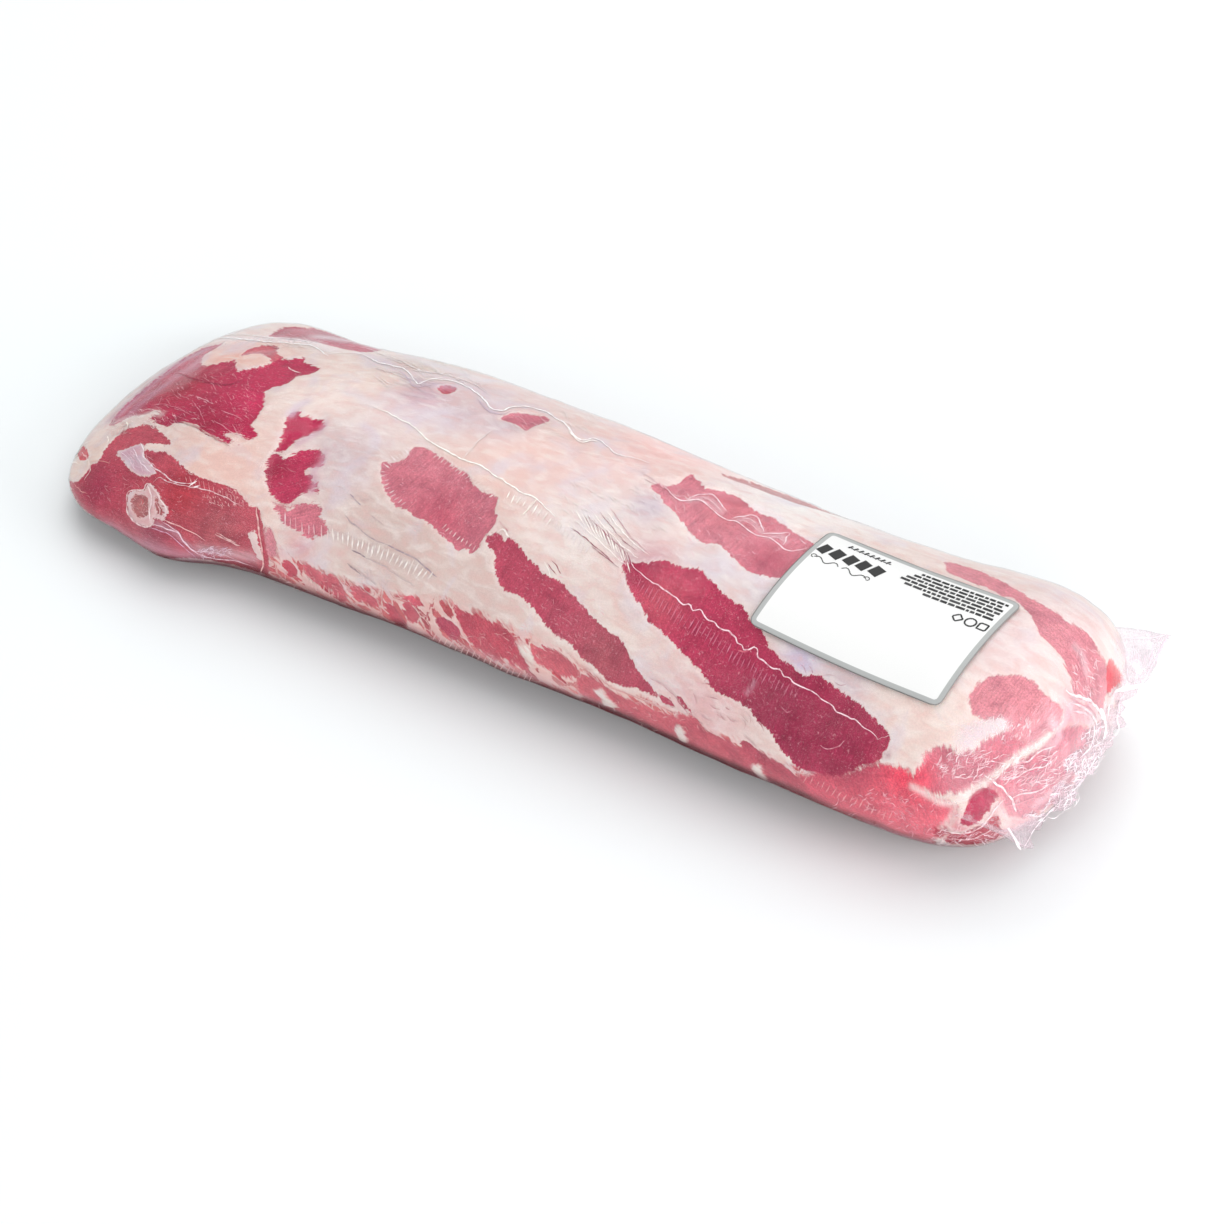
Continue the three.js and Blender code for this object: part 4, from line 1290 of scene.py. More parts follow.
def creaseMaterial():
    # Film pinched into a ridge: the doubled film scatters light and turns milky over the colour under it.
    # the same strips also carry painted highlights, glints and painted shade, in their tone
    material, tree = newMaterial("pinchedFilmAndPaintedLight")
    tone = addNode(tree, "Attribute", attribute_name="tone").outputs["Color"]
    under = addNode(tree, "Attribute", attribute_name="under").outputs["Color"]
    share = addNode(tree, "Attribute", attribute_name="share").outputs["Fac"]
    place = addNode(tree, "TexCoord").outputs["Object"]
    # breaks 2.5 mm apart along each crease
    broken = addNode(tree, "TexNoise", {"Vector": place, "Scale": 1 / 0.0025, "Detail": 2.0}).outputs["Fac"]
    breakShare = addNode(tree, "MapRange", {0: broken, 1: 0.35, 2: 0.6, 3: 0.4, 4: 1.15}).outputs[0]
    total = addNode(tree, "Math", {0: breakShare, 1: share}, operation="MULTIPLY", use_clamp=True)
    colour = addNode(tree, "Mix", {0: total.outputs[0], 6: under, 7: tone}, data_type="RGBA").outputs[2]
    # a pinched ridge is so small that light spreads through it, so it is shaded mostly like the film round it
    lay = addNode(tree, "Attribute", attribute_name="layNormal").outputs["Vector"]
    own = addNode(tree, "NewGeometry").outputs["Normal"]
    mixed = addNode(tree, "VectorMath", {0: own, 1: (0.3, 0.3, 0.3), 2: lay}, operation="MULTIPLY_ADD")
    unit = addNode(tree, "VectorMath", {0: mixed.outputs[0]}, operation="NORMALIZE").outputs[0]
    pinched = addNode(tree, "BsdfPrincipled", {"Base Color": colour, "Roughness": 0.3, "Normal": unit,
                                               "Specular IOR Level": 0.35})
    addNode(tree, "OutputMaterial", {"Surface": castNoShadow(tree, pinched.outputs[0])})
    return material


# Half a ridge's width is 0.5; the second value is the height. Points along a crease are 1.2 mm apart.
ridgeStep = 1.2
ridgeProfile = np.array([(0.5, -0.02), (0.2, 0.15), (-0.2, 0.15), (-0.5, -0.02), (0.0, -0.12)])

# Single creases: tone, strength, width in mm, picture points. Some are painted highlights, glints and shade,
# as marked.
creaseLines = [
    # the long pleat along the ridge and its branches
    ("#fffdf6", 1.0, 0.8, [(365, 403), (385, 411), (400, 419), (412, 425), (419, 432), (430, 441),
        (444, 449), (462, 459), (478, 464), (492, 473), (506, 482), (520, 491), (537, 499), (546, 508),
        (556, 517)]),
    ("#f6efee", 0.5, 0.7, [(463, 459), (470, 450), (477, 442), (492, 430)]),
    ("#fff8ec", 0.9, 0.6, [(537, 499), (530, 507), (522, 515)]),
    # the zigzag across the dark oval
    ("#fbd9e2", 0.95, 0.75, [(618, 557), (624, 562), (632, 566), (641, 571), (651, 580), (660, 585),
        (668, 592), (674, 595), (679, 600), (684, 605), (690, 606), (698, 611), (706, 617), (714, 621),
        (722, 627), (729, 632), (735, 639), (741, 645), (744, 650), (753, 648), (758, 656), (764, 661),
        (771, 667), (778, 670), (793, 681), (809, 690), (824, 700), (830, 705), (845, 715), (850, 720),
        (855, 720), (868, 730), (877, 740), (882, 737), (889, 737)]),
    ("#f08a98", 0.7, 0.8, [(738, 650), (744, 652), (750, 650)]),
    # the scalloped pleat on the upper stripe
    ("#fae0e6", 0.95, 0.8, [(658, 483), (665, 487), (672, 494), (680, 500), (688, 500), (697, 499),
        (704, 502), (712, 509), (720, 516), (728, 520), (736, 521), (742, 525), (748, 530), (755, 534),
        (764, 536), (772, 539), (778, 543), (783, 548), (790, 551), (798, 550), (806, 548)]),
    ("#fae4ea", 0.95, 0.7, [(688, 500), (692, 497), (697, 495), (705, 494), (712, 494), (717, 499),
        (722, 505), (726, 511)]),
    ("#fae4ea", 0.95, 0.7, [(732, 519), (737, 517), (744, 516), (752, 515), (757, 517), (760, 523),
        (764, 532)]),
    ("#fae4ea", 0.95, 0.7, [(762, 534), (770, 533), (780, 533), (789, 533), (786, 539), (783, 545)]),
    ("#f6d4dc", 0.85, 0.5, [(694, 498), (702, 500), (710, 505), (718, 512)]),
    ("#f6d4dc", 0.85, 0.5, [(700, 496), (708, 499), (716, 505), (722, 512)]),
    ("#f6d4dc", 0.85, 0.5, [(738, 520), (746, 521), (754, 526), (760, 532)]),
    ("#f6d4dc", 0.85, 0.5, [(742, 518), (750, 519), (757, 524)]),
    ("#f6d4dc", 0.85, 0.5, [(768, 537), (776, 537), (784, 541)]),
    ("#f6d8e0", 0.9, 0.5, [(800, 538), (803, 542), (807, 544)]),
    # the fold along the back of the ridge
    ("#fffdfd", 1.0, 1.0, [(172, 362), (184, 352), (198, 344), (214, 338), (232, 338), (262, 341),
        (290, 343), (310, 345), (320, 350), (328, 356)]),
    ("#fffafa", 0.9, 0.7, [(215, 336), (240, 334), (268, 337), (296, 339), (316, 343)]),
    ("#fffbfb", 1.0, 1.0, [(325, 354), (345, 352), (362, 354), (378, 362), (395, 366), (405, 369),
        (412, 376), (418, 384), (430, 379), (450, 380), (462, 384), (470, 388), (478, 394), (485, 400),
        (492, 409), (503, 410), (512, 407), (525, 406), (545, 411), (556, 418), (566, 424), (573, 434),
        (582, 440), (592, 438), (600, 440), (608, 446), (615, 453), (635, 458), (650, 463)]),
    # painted shade in the valley beside the fold, in this line and the next
    ("#a892b4", 0.45, 0.8, [(400, 371), (408, 378), (414, 386), (424, 386), (436, 383)]),
    ("#a892b4", 0.45, 0.8, [(478, 399), (488, 410), (500, 414), (512, 411)]),
    ("#f6eef2", 0.6, 0.8, [(372, 352), (396, 358), (420, 370), (444, 374), (470, 382), (490, 394)]),
    ("#f6eef2", 0.5, 0.7, [(340, 345), (366, 348), (388, 357), (404, 364)]),
    ("#fffaf4", 0.85, 1.1, [(568, 428), (574, 436), (582, 442), (592, 440), (600, 442)]),
    # stretched lines over the left shoulder, with painted highlights and glints of the film among them
    ("#e8c8d8", 0.4, 0.6, [(175, 360), (152, 377), (131, 394), (116, 410), (103, 424)]),
    ("#e8c8d8", 0.35, 0.5, [(164, 362), (142, 381), (122, 400), (108, 417)]),
    ("#ecd0dc", 0.35, 0.5, [(187, 362), (165, 374), (146, 388), (132, 402)]),
    ("#fff2f2", 0.6, 0.6, [(225, 336), (205, 342), (183, 356)]),
    # a painted highlight
    ("#fff4f4", 0.7, 0.8, [(288, 367), (294, 371), (301, 373)]),
    # painted glints, in this line and the next three
    ("#eaa4b6", 0.6, 0.45, [(204, 378), (212, 384), (217, 391)]),
    ("#eaa4b6", 0.55, 0.45, [(192, 400), (200, 412), (206, 425)]),
    ("#eaa4b6", 0.55, 0.45, [(232, 424), (238, 433), (247, 441)]),
    ("#eaa4b6", 0.5, 0.45, [(150, 405), (165, 404), (180, 409), (192, 416)]),
    ("#8e1c40", 0.5, 1.2, [(176, 372), (200, 380), (226, 384), (246, 378)]),
    ("#8e1c40", 0.45, 1.2, [(170, 420), (190, 424), (212, 436), (230, 446)]),
    ("#fde8ea", 0.6, 0.6, [(139, 413), (148, 409), (158, 411), (163, 414)]),
    # painted glints, in this line and the next two
    ("#f3c0cc", 0.8, 0.55, [(196, 396), (204, 399), (213, 404)]),
    ("#eaa4b6", 0.7, 0.5, [(221, 410), (232, 414), (243, 420)]),
    ("#eaa4b6", 0.6, 0.5, [(214, 420), (226, 428), (238, 438)]),
    # the curl low on the dark oval
    ("#f2b4c2", 0.7, 0.6, [(820, 745), (826, 748), (833, 748), (839, 746), (845, 741)]),
    ("#f2a8b8", 0.5, 0.5, [(781, 706), (787, 712), (792, 710)]),
    # purple-grey creases in the silverskin
    ("#84708a", 0.55, 0.7, [(350, 494), (355, 499), (361, 505)]),
    ("#8a7488", 0.5, 0.7, [(345, 515), (350, 521), (357, 527), (370, 537), (385, 544)]),
    ("#7a6480", 0.6, 0.8, [(385, 544), (392, 547), (400, 551), (415, 559), (425, 566), (431, 572),
        (437, 577)]),
    ("#75586c", 0.65, 0.9, [(352, 550), (358, 553), (365, 558)]),
    ("#9a8698", 0.4, 0.6, [(365, 558), (385, 567), (400, 578), (415, 586)]),
    ("#6c4c60", 0.6, 0.9, [(347, 564), (354, 569), (361, 575)]),
    ("#a08c98", 0.4, 0.6, [(361, 575), (372, 582), (376, 586)]),
    ("#a58a98", 0.4, 0.6, [(371, 515), (377, 520), (384, 525)]),
    # tears beside the second stripe
    ("#b87888", 0.6, 0.7, [(650, 678), (657, 682), (665, 688), (676, 698), (688, 714)]),
    ("#b87888", 0.5, 0.6, [(742, 735), (749, 741), (757, 748)]),
    ("#c08a94", 0.5, 0.6, [(700, 715), (706, 719), (712, 722)]),
    ("#fbf1ec", 0.7, 0.8, [(544, 562), (548, 569), (551, 577)]),
    ("#98404e", 0.9, 0.5, [(547, 563), (552, 570), (556, 575)]),
    ("#98404e", 0.9, 0.5, [(552, 560), (557, 567), (561, 574)]),
    ("#fbf1ec", 0.7, 0.8, [(496, 533), (502, 529), (506, 533), (510, 537)]),
    ("#c07080", 0.6, 0.6, [(499, 521), (504, 526), (508, 532)]),
    ("#8a3a50", 0.85, 0.55, [(572, 528), (584, 537), (598, 549), (612, 562)]),
    ("#9a4a5e", 0.8, 0.5, [(588, 516), (602, 530), (616, 543), (628, 553)]),
    ("#8a3a50", 0.8, 0.5, [(600, 512), (612, 527), (624, 541), (636, 551)]),
    ("#b8788a", 0.8, 0.5, [(610, 508), (622, 524), (634, 540), (648, 552)]),
    ("#8a3a50", 0.8, 0.5, [(592, 546), (606, 558), (620, 568)]),
    ("#fff4f0", 0.95, 0.6, [(580, 524), (596, 538), (612, 553), (626, 566)]),
    ("#fff4f0", 0.95, 0.6, [(594, 514), (608, 530), (622, 545), (638, 558)]),
    ("#fff4f0", 0.9, 0.6, [(606, 510), (618, 526), (632, 541), (650, 556)]),
    ("#d8b4bc", 0.7, 0.5, [(640, 470), (652, 478), (658, 484)]),
    ("#9a4a5e", 0.7, 0.4, [(644, 478), (652, 483), (660, 487)]),
    # folds on the left face
    ("#fbeef2", 0.95, 0.7, [(140, 443), (143, 450), (144, 457), (149, 462), (154, 468)]),
    ("#f4e2ea", 0.9, 0.6, [(133, 448), (136, 454), (139, 461), (146, 468), (151, 472)]),
    ("#f0dce4", 0.8, 0.6, [(121, 452), (127, 457), (131, 463), (136, 470)]),
    ("#c48a98", 0.7, 0.5, [(127, 450), (132, 457), (137, 465)]),
    ("#f3dde2", 0.85, 0.7, [(143, 457), (153, 467), (160, 471), (167, 477), (177, 482), (192, 483),
        (198, 478)]),
    ("#efd2d6", 0.8, 0.6, [(153, 482), (160, 477), (168, 482), (180, 485), (193, 487), (213, 492),
        (227, 498), (235, 503), (243, 507)]),
    ("#fdf0f0", 0.95, 1.0, [(189, 486), (193, 483), (197, 481)]),
    ("#fbe8ea", 0.9, 0.9, [(191, 488), (196, 487), (200, 485)]),
    ("#f2dada", 0.9, 0.9, [(127, 503), (127, 494), (132, 490), (143, 490), (146, 484), (150, 485),
        (158, 494), (160, 500), (166, 508), (165, 516), (160, 520)]),
    ("#efd6d6", 0.9, 1.1, [(127, 503), (128, 514), (134, 521), (140, 526), (150, 526), (152, 519)]),
    ("#f4dede", 0.95, 1.1, [(147, 485), (151, 494), (151, 503), (149, 512), (151, 524)]),
    ("#e8c2c4", 0.8, 0.6, [(152, 500), (157, 504), (160, 511), (158, 517)]),
    ("#d9585f", 0.7, 0.9, [(139, 499), (143, 501), (142, 505)]),
    ("#efd0dc", 0.95, 0.8, [(152, 523), (163, 527), (177, 533), (187, 545), (197, 553), (210, 558),
        (227, 560), (240, 562), (254, 567)]),
    ("#ecccd8", 0.9, 0.6, [(160, 521), (177, 531), (183, 540), (193, 550), (207, 552), (218, 553),
        (232, 558), (243, 563)]),
    ("#dcb0cc", 0.85, 0.6, [(150, 527), (160, 531), (172, 536), (184, 548), (196, 557)]),
    ("#eab8b8", 0.85, 0.6, [(162, 519), (180, 527), (192, 533), (206, 541)]),
    ("#f4d0cc", 0.7, 0.5, [(216, 533), (226, 538), (236, 543)]),
    ("#eac8c6", 0.65, 0.9, [(215, 534), (222, 538), (230, 541), (240, 546)]),
    ("#e8a8a4", 0.7, 0.5, [(74, 484), (80, 490), (87, 494)]),
    ("#e8b0a8", 0.7, 0.5, [(90, 461), (100, 461), (110, 463)]),
    ("#fff6ea", 0.95, 0.9, [(126, 422), (128, 424), (127, 427)]),
    ("#fff6ee", 0.9, 0.8, [(107, 436), (109, 440), (107, 443)]),
    ("#fffaf4", 0.9, 0.8, [(84, 444), (87, 442), (90, 441)]),
    ("#fff6f0", 0.8, 0.7, [(72, 463), (75, 462), (78, 464)]),
    ("#f0c8c4", 0.75, 1.1, [(256, 506), (258, 520), (259, 535), (262, 550), (263, 562), (261, 572)]),
    ("#b04450", 0.55, 0.8, [(260, 512), (262, 530), (265, 548), (267, 565)]),
    ("#f6e6e0", 0.65, 0.9, [(82, 452), (88, 460), (90, 470), (84, 480)]),
    # the gathered right end
    ("#fff0f2", 0.8, 1.6, [(1066, 690), (1074, 696), (1084, 698), (1093, 703), (1100, 712), (1104, 722),
        (1103, 733), (1096, 744)]),
    ("#fde6ea", 0.7, 1.2, [(1070, 702), (1080, 706), (1090, 712), (1096, 722), (1096, 733), (1090, 744)]),
    ("#f6d6dc", 0.7, 1.0, [(1073, 712), (1084, 713), (1092, 720), (1094, 730)]),
    ("#c07888", 0.5, 0.8, [(1068, 696), (1078, 703), (1090, 708), (1098, 718)]),
    ("#a04a60", 0.6, 0.9, [(1107, 690), (1110, 697), (1115, 690), (1122, 684)]),
    ("#fff4f4", 0.75, 1.2, [(985, 776), (996, 783), (1004, 790), (1012, 800), (1016, 812)]),
    ("#fbe8ec", 0.7, 1.0, [(944, 830), (960, 834), (976, 830), (988, 820), (996, 808), (1004, 800)]),
    ("#f8dfe4", 0.6, 0.9, [(950, 838), (968, 840), (984, 834), (996, 826)]),
    ("#fdeef0", 0.6, 0.9, [(1010, 800), (1022, 794), (1036, 792), (1050, 784)]),
    ("#fdeef0", 0.6, 0.8, [(1000, 780), (1014, 778), (1030, 770), (1046, 766), (1058, 756)]),
    ("#fdeef0", 0.55, 0.8, [(1012, 764), (1026, 762), (1040, 752), (1056, 746)]),
    ("#e0a8b4", 0.5, 0.8, [(1006, 806), (1018, 804), (1030, 800), (1044, 796)]),
    ("#e8b0bc", 0.5, 0.7, [(1040, 776), (1052, 770), (1066, 758), (1076, 750)]),
]

# Rows of short ribs: tone, strength, width, spacing in pixels, first line of ends, second line of ends.
ribRows = [
    # the ladder along the silverskin, pink over the lean and white beyond
    ("#f4d3d8", 0.75, 1.0, 6.2, [(276, 507), (290, 515), (310, 521), (330, 525)], [(278, 522), (290, 531),
        (310, 538), (330, 543)]),
    ("#fbf3ee", 0.8, 1.15, 5.4, [(330, 526), (345, 530), (365, 537), (390, 548), (415, 560),
        (436, 573)], [(331, 543), (350, 550), (370, 557), (390, 567), (410, 576), (428, 582)]),
    # painted shade between the white ribs
    ("#b9a4b0", 0.35, 0.7, 5.4, [(333, 528), (348, 532), (368, 539), (393, 550), (418, 562),
        (434, 573)], [(334, 541), (352, 549), (373, 556), (393, 566), (412, 575), (428, 580)]),
    # combed edges of the rose oval
    ("#efdfe0", 1.0, 0.8, 3.8, [(380, 463), (386, 458), (394, 454), (402, 449), (409, 445)], [(389, 470),
        (393, 465), (400, 461), (408, 457), (414, 453)]),
    ("#efdfe0", 1.0, 0.7, 4.2, [(379, 470), (381, 480), (385, 491), (392, 500), (402, 508)], [(386, 469),
        (388, 477), (392, 486), (399, 495), (408, 503)]),
    ("#efe0dc", 1.0, 0.7, 4.4, [(437, 451), (452, 461), (468, 469), (485, 483), (498, 495)], [(431, 457),
        (446, 468), (462, 477), (478, 490), (489, 500)]),
    ("#efe0dc", 1.0, 0.7, 4.6, [(440, 528), (452, 538), (464, 546), (474, 552)], [(445, 522), (456, 531),
        (468, 540), (478, 546)]),
    # short ribs under the zigzag
    ("#e394ae", 0.6, 0.6, 5.0, [(640, 576), (665, 594), (690, 611), (715, 627), (740, 650), (765, 668),
        (800, 690)], [(634, 588), (656, 610), (679, 630), (705, 645), (728, 662), (756, 682), (795, 702)]),
    ("#701a38", 0.6, 0.6, 6.3, [(642, 578), (667, 597), (692, 614), (717, 630), (742, 654),
        (800, 693)], [(636, 592), (658, 612), (682, 634), (707, 652), (732, 668), (794, 708)]),
    # combed fibres between the fat and the oval
    ("#8e3c52", 0.9, 0.7, 5.6, [(578, 508), (592, 516), (606, 528), (618, 540), (628, 552)], [(594, 532),
        (606, 544), (618, 556), (628, 566), (636, 578)]),
    ("#fdf4ee", 0.95, 0.8, 5.6, [(572, 506), (590, 516), (604, 528), (616, 540), (626, 552)], [(586, 530),
        (602, 542), (614, 554), (624, 564), (632, 576)]),
    # warm ribs under the long pleat
    ("#fffaf2", 0.95, 0.9, 5.8, [(508, 488), (525, 497), (540, 505), (556, 517)], [(502, 499), (518, 508),
        (532, 517), (546, 530)]),
    ("#ded0d4", 0.5, 0.8, 5.0, [(552, 515), (566, 524), (580, 534), (592, 546)], [(548, 524), (560, 536),
        (572, 548), (584, 560)]),
    # painted sparkle of light over the upper left face
    ("#eeb4b8", 0.6, 0.6, 5.0, [(182, 474), (198, 478), (214, 484), (230, 492), (246, 502)], [(186, 484),
        (200, 490), (216, 495), (232, 503), (245, 512)]),
    # along the marbled lower band
    ("#f8e2da", 0.65, 0.7, 5.0, [(304, 574), (316, 580), (328, 586), (340, 592)], [(306, 584), (318, 592),
        (329, 597), (340, 602)]),
    ("#f6dcd6", 0.5, 0.7, 6.0, [(430, 640), (450, 650), (470, 660), (500, 672), (530, 686)], [(434, 630),
        (455, 641), (476, 650), (506, 663), (536, 676)]),
    ("#f6dcd6", 0.45, 0.6, 6.0, [(800, 782), (830, 796), (860, 810), (890, 824)], [(806, 772), (836, 786),
        (866, 800), (896, 812)]),
]


# Short creases scattered over an ellipse of the picture: tone, strength, width in mm, middle and half
# sizes in pixels, direction and spread in degrees, count and longest length in pixels.
# At the right end these are wrinkles of the film; the pale streaks over the lean and along the back edge are
# painted glints and sheen of the film.
crinklesAndGlints = [
    ("#fdeef2", 0.75, 0.5, (975, 768), (46, 15), -32, 45, 110, 11),
    ("#d4607e", 0.6, 0.4, (985, 768), (46, 17), -50, 60, 80, 6),
    ("#fdeef2", 0.8, 0.5, (1035, 775), (40, 20), -38, 45, 130, 14),
    ("#cf5f7e", 0.7, 0.5, (1030, 775), (42, 20), -38, 40, 90, 12),
    ("#fff0f4", 0.8, 0.45, (1005, 730), (38, 12), -60, 40, 80, 7),
    ("#ffeef2", 0.75, 0.45, (1085, 672), (14, 26), 60, 40, 60, 10),
    ("#fde8f0", 0.85, 0.5, (960, 838), (44, 9), -10, 45, 100, 10),
    ("#f8d6de", 0.75, 0.4, (880, 812), (60, 22), 20, 70, 90, 8),
    # painted glints of the film over the shoulder, in this line and the next
    ("#f0b4c2", 0.45, 0.4, (205, 400), (70, 30), 30, 35, 60, 9),
    ("#e3c4d6", 0.45, 0.5, (135, 395), (26, 16), -42, 12, 30, 26),
    ("#e8c0c4", 0.4, 0.4, (140, 505), (60, 30), 20, 60, 50, 8),
    ("#f2dcec", 0.9, 0.5, (213, 552), (17, 5), 10, 60, 60, 7),
    ("#b07aa4", 0.7, 0.4, (213, 552), (15, 4), 10, 70, 30, 5),
    ("#f0d8e0", 0.8, 0.45, (137, 459), (13, 11), 45, 30, 26, 9),
    ("#eacaca", 0.7, 0.4, (146, 505), (17, 17), 60, 80, 40, 7),
    ("#f7d2d2", 0.8, 0.45, (225, 496), (22, 9), 60, 40, 50, 5),
    ("#f0dcd6", 0.7, 0.5, (118, 428), (14, 8), -35, 40, 24, 8),
    ("#d98a90", 0.6, 0.5, (116, 432), (14, 9), -40, 40, 22, 9),
    # painted glints over the shoulder, in this line and the next
    ("#f0bcc8", 0.6, 0.45, (215, 395), (50, 26), 25, 45, 120, 5),
    ("#fbe0e4", 0.8, 0.35, (160, 415), (34, 12), 25, 45, 40, 7),
    ("#f6d8d4", 0.45, 0.5, (330, 580), (60, 16), 35, 50, 70, 9),
    ("#f6d8d4", 0.45, 0.5, (480, 650), (70, 18), 35, 50, 80, 9),
    ("#f6d8d4", 0.45, 0.5, (640, 715), (80, 16), 30, 50, 80, 9),
    # painted glints of the film over the lean windows, in this line and the next two
    ("#eeb0be", 0.5, 0.45, (740, 660), (100, 50), 50, 60, 150, 4),
    ("#f0bcc4", 0.5, 0.45, (440, 500), (50, 40), 40, 60, 80, 4),
    ("#f0c0cc", 0.7, 0.5, (740, 540), (70, 24), 20, 50, 50, 8),
    ("#a02a48", 0.5, 0.7, (770, 690), (80, 34), 35, 40, 60, 14),
    # painted glints over the lean
    ("#e8a8b4", 0.6, 0.45, (560, 600), (50, 44), 45, 40, 60, 7),
    # painted sheen and painted shade of the film along the back edge, in this line and the next three
    ("#f6f0f2", 0.5, 0.5, (300, 338), (60, 8), 8, 14, 30, 26),
    ("#f3ecf2", 0.5, 0.5, (420, 368), (60, 12), 18, 20, 50, 22),
    ("#b9a6bd", 0.3, 0.5, (430, 385), (60, 12), 18, 25, 24, 16),
    ("#f6f0f0", 0.4, 0.5, (560, 420), (60, 14), 28, 20, 30, 18),
    ("#fffaf6", 0.4, 0.5, (620, 500), (70, 30), 35, 30, 50, 14),
    ("#d9bcc4", 0.3, 0.4, (330, 470), (60, 40), 30, 30, 40, 12),
]

# Folds of the tail itself, in the same form as the creases.
tailLines = [
    ("#fff2f4", 0.9, 2.4, [(1071, 690), (1076, 695), (1086, 697), (1095, 702), (1101, 710), (1105, 720),
        (1106, 730), (1104, 738), (1098, 744)]),
    ("#d98a9c", 0.6, 0.8, [(1074, 700), (1084, 702), (1092, 707), (1098, 716), (1101, 728), (1098, 740)]),
    ("#fdeaee", 0.85, 1.2, [(1056, 700), (1066, 708), (1076, 712), (1083, 713), (1087, 709), (1086, 703),
        (1079, 700), (1072, 699)]),
    ("#fff4f6", 0.9, 2.2, [(1143, 683), (1134, 687), (1124, 689), (1114, 692), (1109, 697), (1109, 706),
        (1108, 716)]),
    ("#cf6a84", 0.6, 1.0, [(1111, 688), (1108, 694), (1106, 704), (1105, 714)]),
    ("#fbe6ea", 0.8, 1.2, [(1124, 694), (1119, 702), (1119, 711), (1117, 720), (1119, 728), (1115, 736),
        (1107, 743)]),
    ("#fff0f4", 0.75, 1.2, [(1088, 716), (1094, 724), (1094, 736), (1090, 748), (1080, 758)]),
    ("#f3dbe6", 0.6, 0.8, [(1153, 642), (1152, 656), (1148, 668)]),
    ("#fbeef2", 0.7, 0.8, [(1124, 638), (1140, 638), (1157, 637), (1168, 634)]),
    ("#f3dbe6", 0.6, 0.8, [(1168, 635), (1160, 650), (1153, 664), (1144, 680)]),
    ("#fff2f6", 0.8, 1.4, [(999, 812), (1004, 822), (1012, 834), (1021, 850)]),
    ("#fff2f6", 0.7, 1.0, [(1108, 743), (1099, 754), (1090, 768), (1083, 780), (1072, 792), (1058, 804),
        (1046, 816), (1034, 830), (1023, 850)]),
]
tailCrinkles = [
    ("#fffafc", 0.9, 0.5, (1050, 790), (45, 34), -42, 40, 330, 15),
    ("#fffafc", 0.85, 0.5, (1085, 750), (22, 30), -60, 45, 150, 12),
    ("#c8a8c0", 0.6, 0.4, (1062, 798), (40, 26), -42, 45, 70, 9),
    ("#dc94ac", 0.5, 0.5, (1052, 785), (40, 30), -42, 40, 90, 12),
    ("#f6e8f0", 0.4, 0.5, (1140, 660), (18, 18), 80, 14, 14, 18),
]


def ribEnds(line, count, roll):
    # Points spread along a line of picture points, each moved a little at random.
    line = np.array(line, float)
    walked = np.concatenate([[0], np.cumsum(np.linalg.norm(np.diff(line, axis=0), axis=1))])
    at = (np.arange(count) + 0.5 + 0.35 * (roll.random(count) - 0.5)) / count * walked[-1]
    return np.stack([np.interp(at, walked, line[:, i]) for i in (0, 1)], 1)


def addRidge(strips, pixels, tone, share, width, taper=1.0, surface=filmSurface, waver=0.0, seed=0):
    # A ridge whose profile follows picture points over the film and thins out towards both ends.
    path, normals = onSkin(pixels, surface)
    under = surface[3][nearestSeen(pixels, surface)]
    path, normals, under = walkEvenly(ridgeStep, path, normals, under)
    if waver:
        side = np.cross(normals, np.gradient(path, axis=0))
        side /= np.maximum(np.linalg.norm(side, axis=1, keepdims=True), 1e-9)
        path = path + side * (waver * softNoise(path, 3.0, seed))[:, None]
    run = np.linspace(0, 1, len(path))
    size = width * (0.25 + 0.75 * np.minimum(1, np.minimum(run, 1 - run) * 6 / taper))
    size = size * (0.85 + 0.3 * softNoise(path, 4.0, 5))
    strips.add(*carryProfile(path, normals, ridgeProfile, size), tone, share, normals, under)


def offSurface(at, surface):
    # True where no visible point lies within three pixels of a picture place.
    places = surface[2]
    first, last = np.searchsorted(places[:, 0], (at[0] - 3, at[0] + 3))
    return np.min(np.sum((places[first:last] - at) ** 2, axis=1), initial=100.0) > 9


def scatterCreases(strips, zones, surface, roll):
    # Each short crease starts at a random place in its ellipse and bends once, off to one side.
    for tone, share, width, middle, halves, turn, spread, count, longest in zones:
        for _ in range(count):
            bearing = 2 * np.pi * roll.random()
            place = np.array(middle) + np.sqrt(roll.random()) * np.array(halves) * (np.cos(bearing),
                                                                                    np.sin(bearing))
            way = np.radians(turn + spread * (2 * roll.random() - 1))
            length = longest * (0.4 + 0.6 * roll.random())
            step = length * np.array([np.cos(way), np.sin(way)])
            bend = 0.25 * (2 * roll.random() - 1) * np.array([-step[1], step[0]])
            if offSurface(place, surface) or offSurface(place + step, surface):
                continue
            corners = np.array([place, place + step / 2 + bend, place + step])
            pixels = smoothThrough(corners, np.linspace(0, 1, 7))
            addRidge(strips, pixels, tone, share * (0.5 + 0.5 * roll.random()), width, taper=2.5,
                     surface=surface)


zigzag = {"points": 30, "waver": 1.3, "others": 0.5}    # creases of more points waver more, in mm


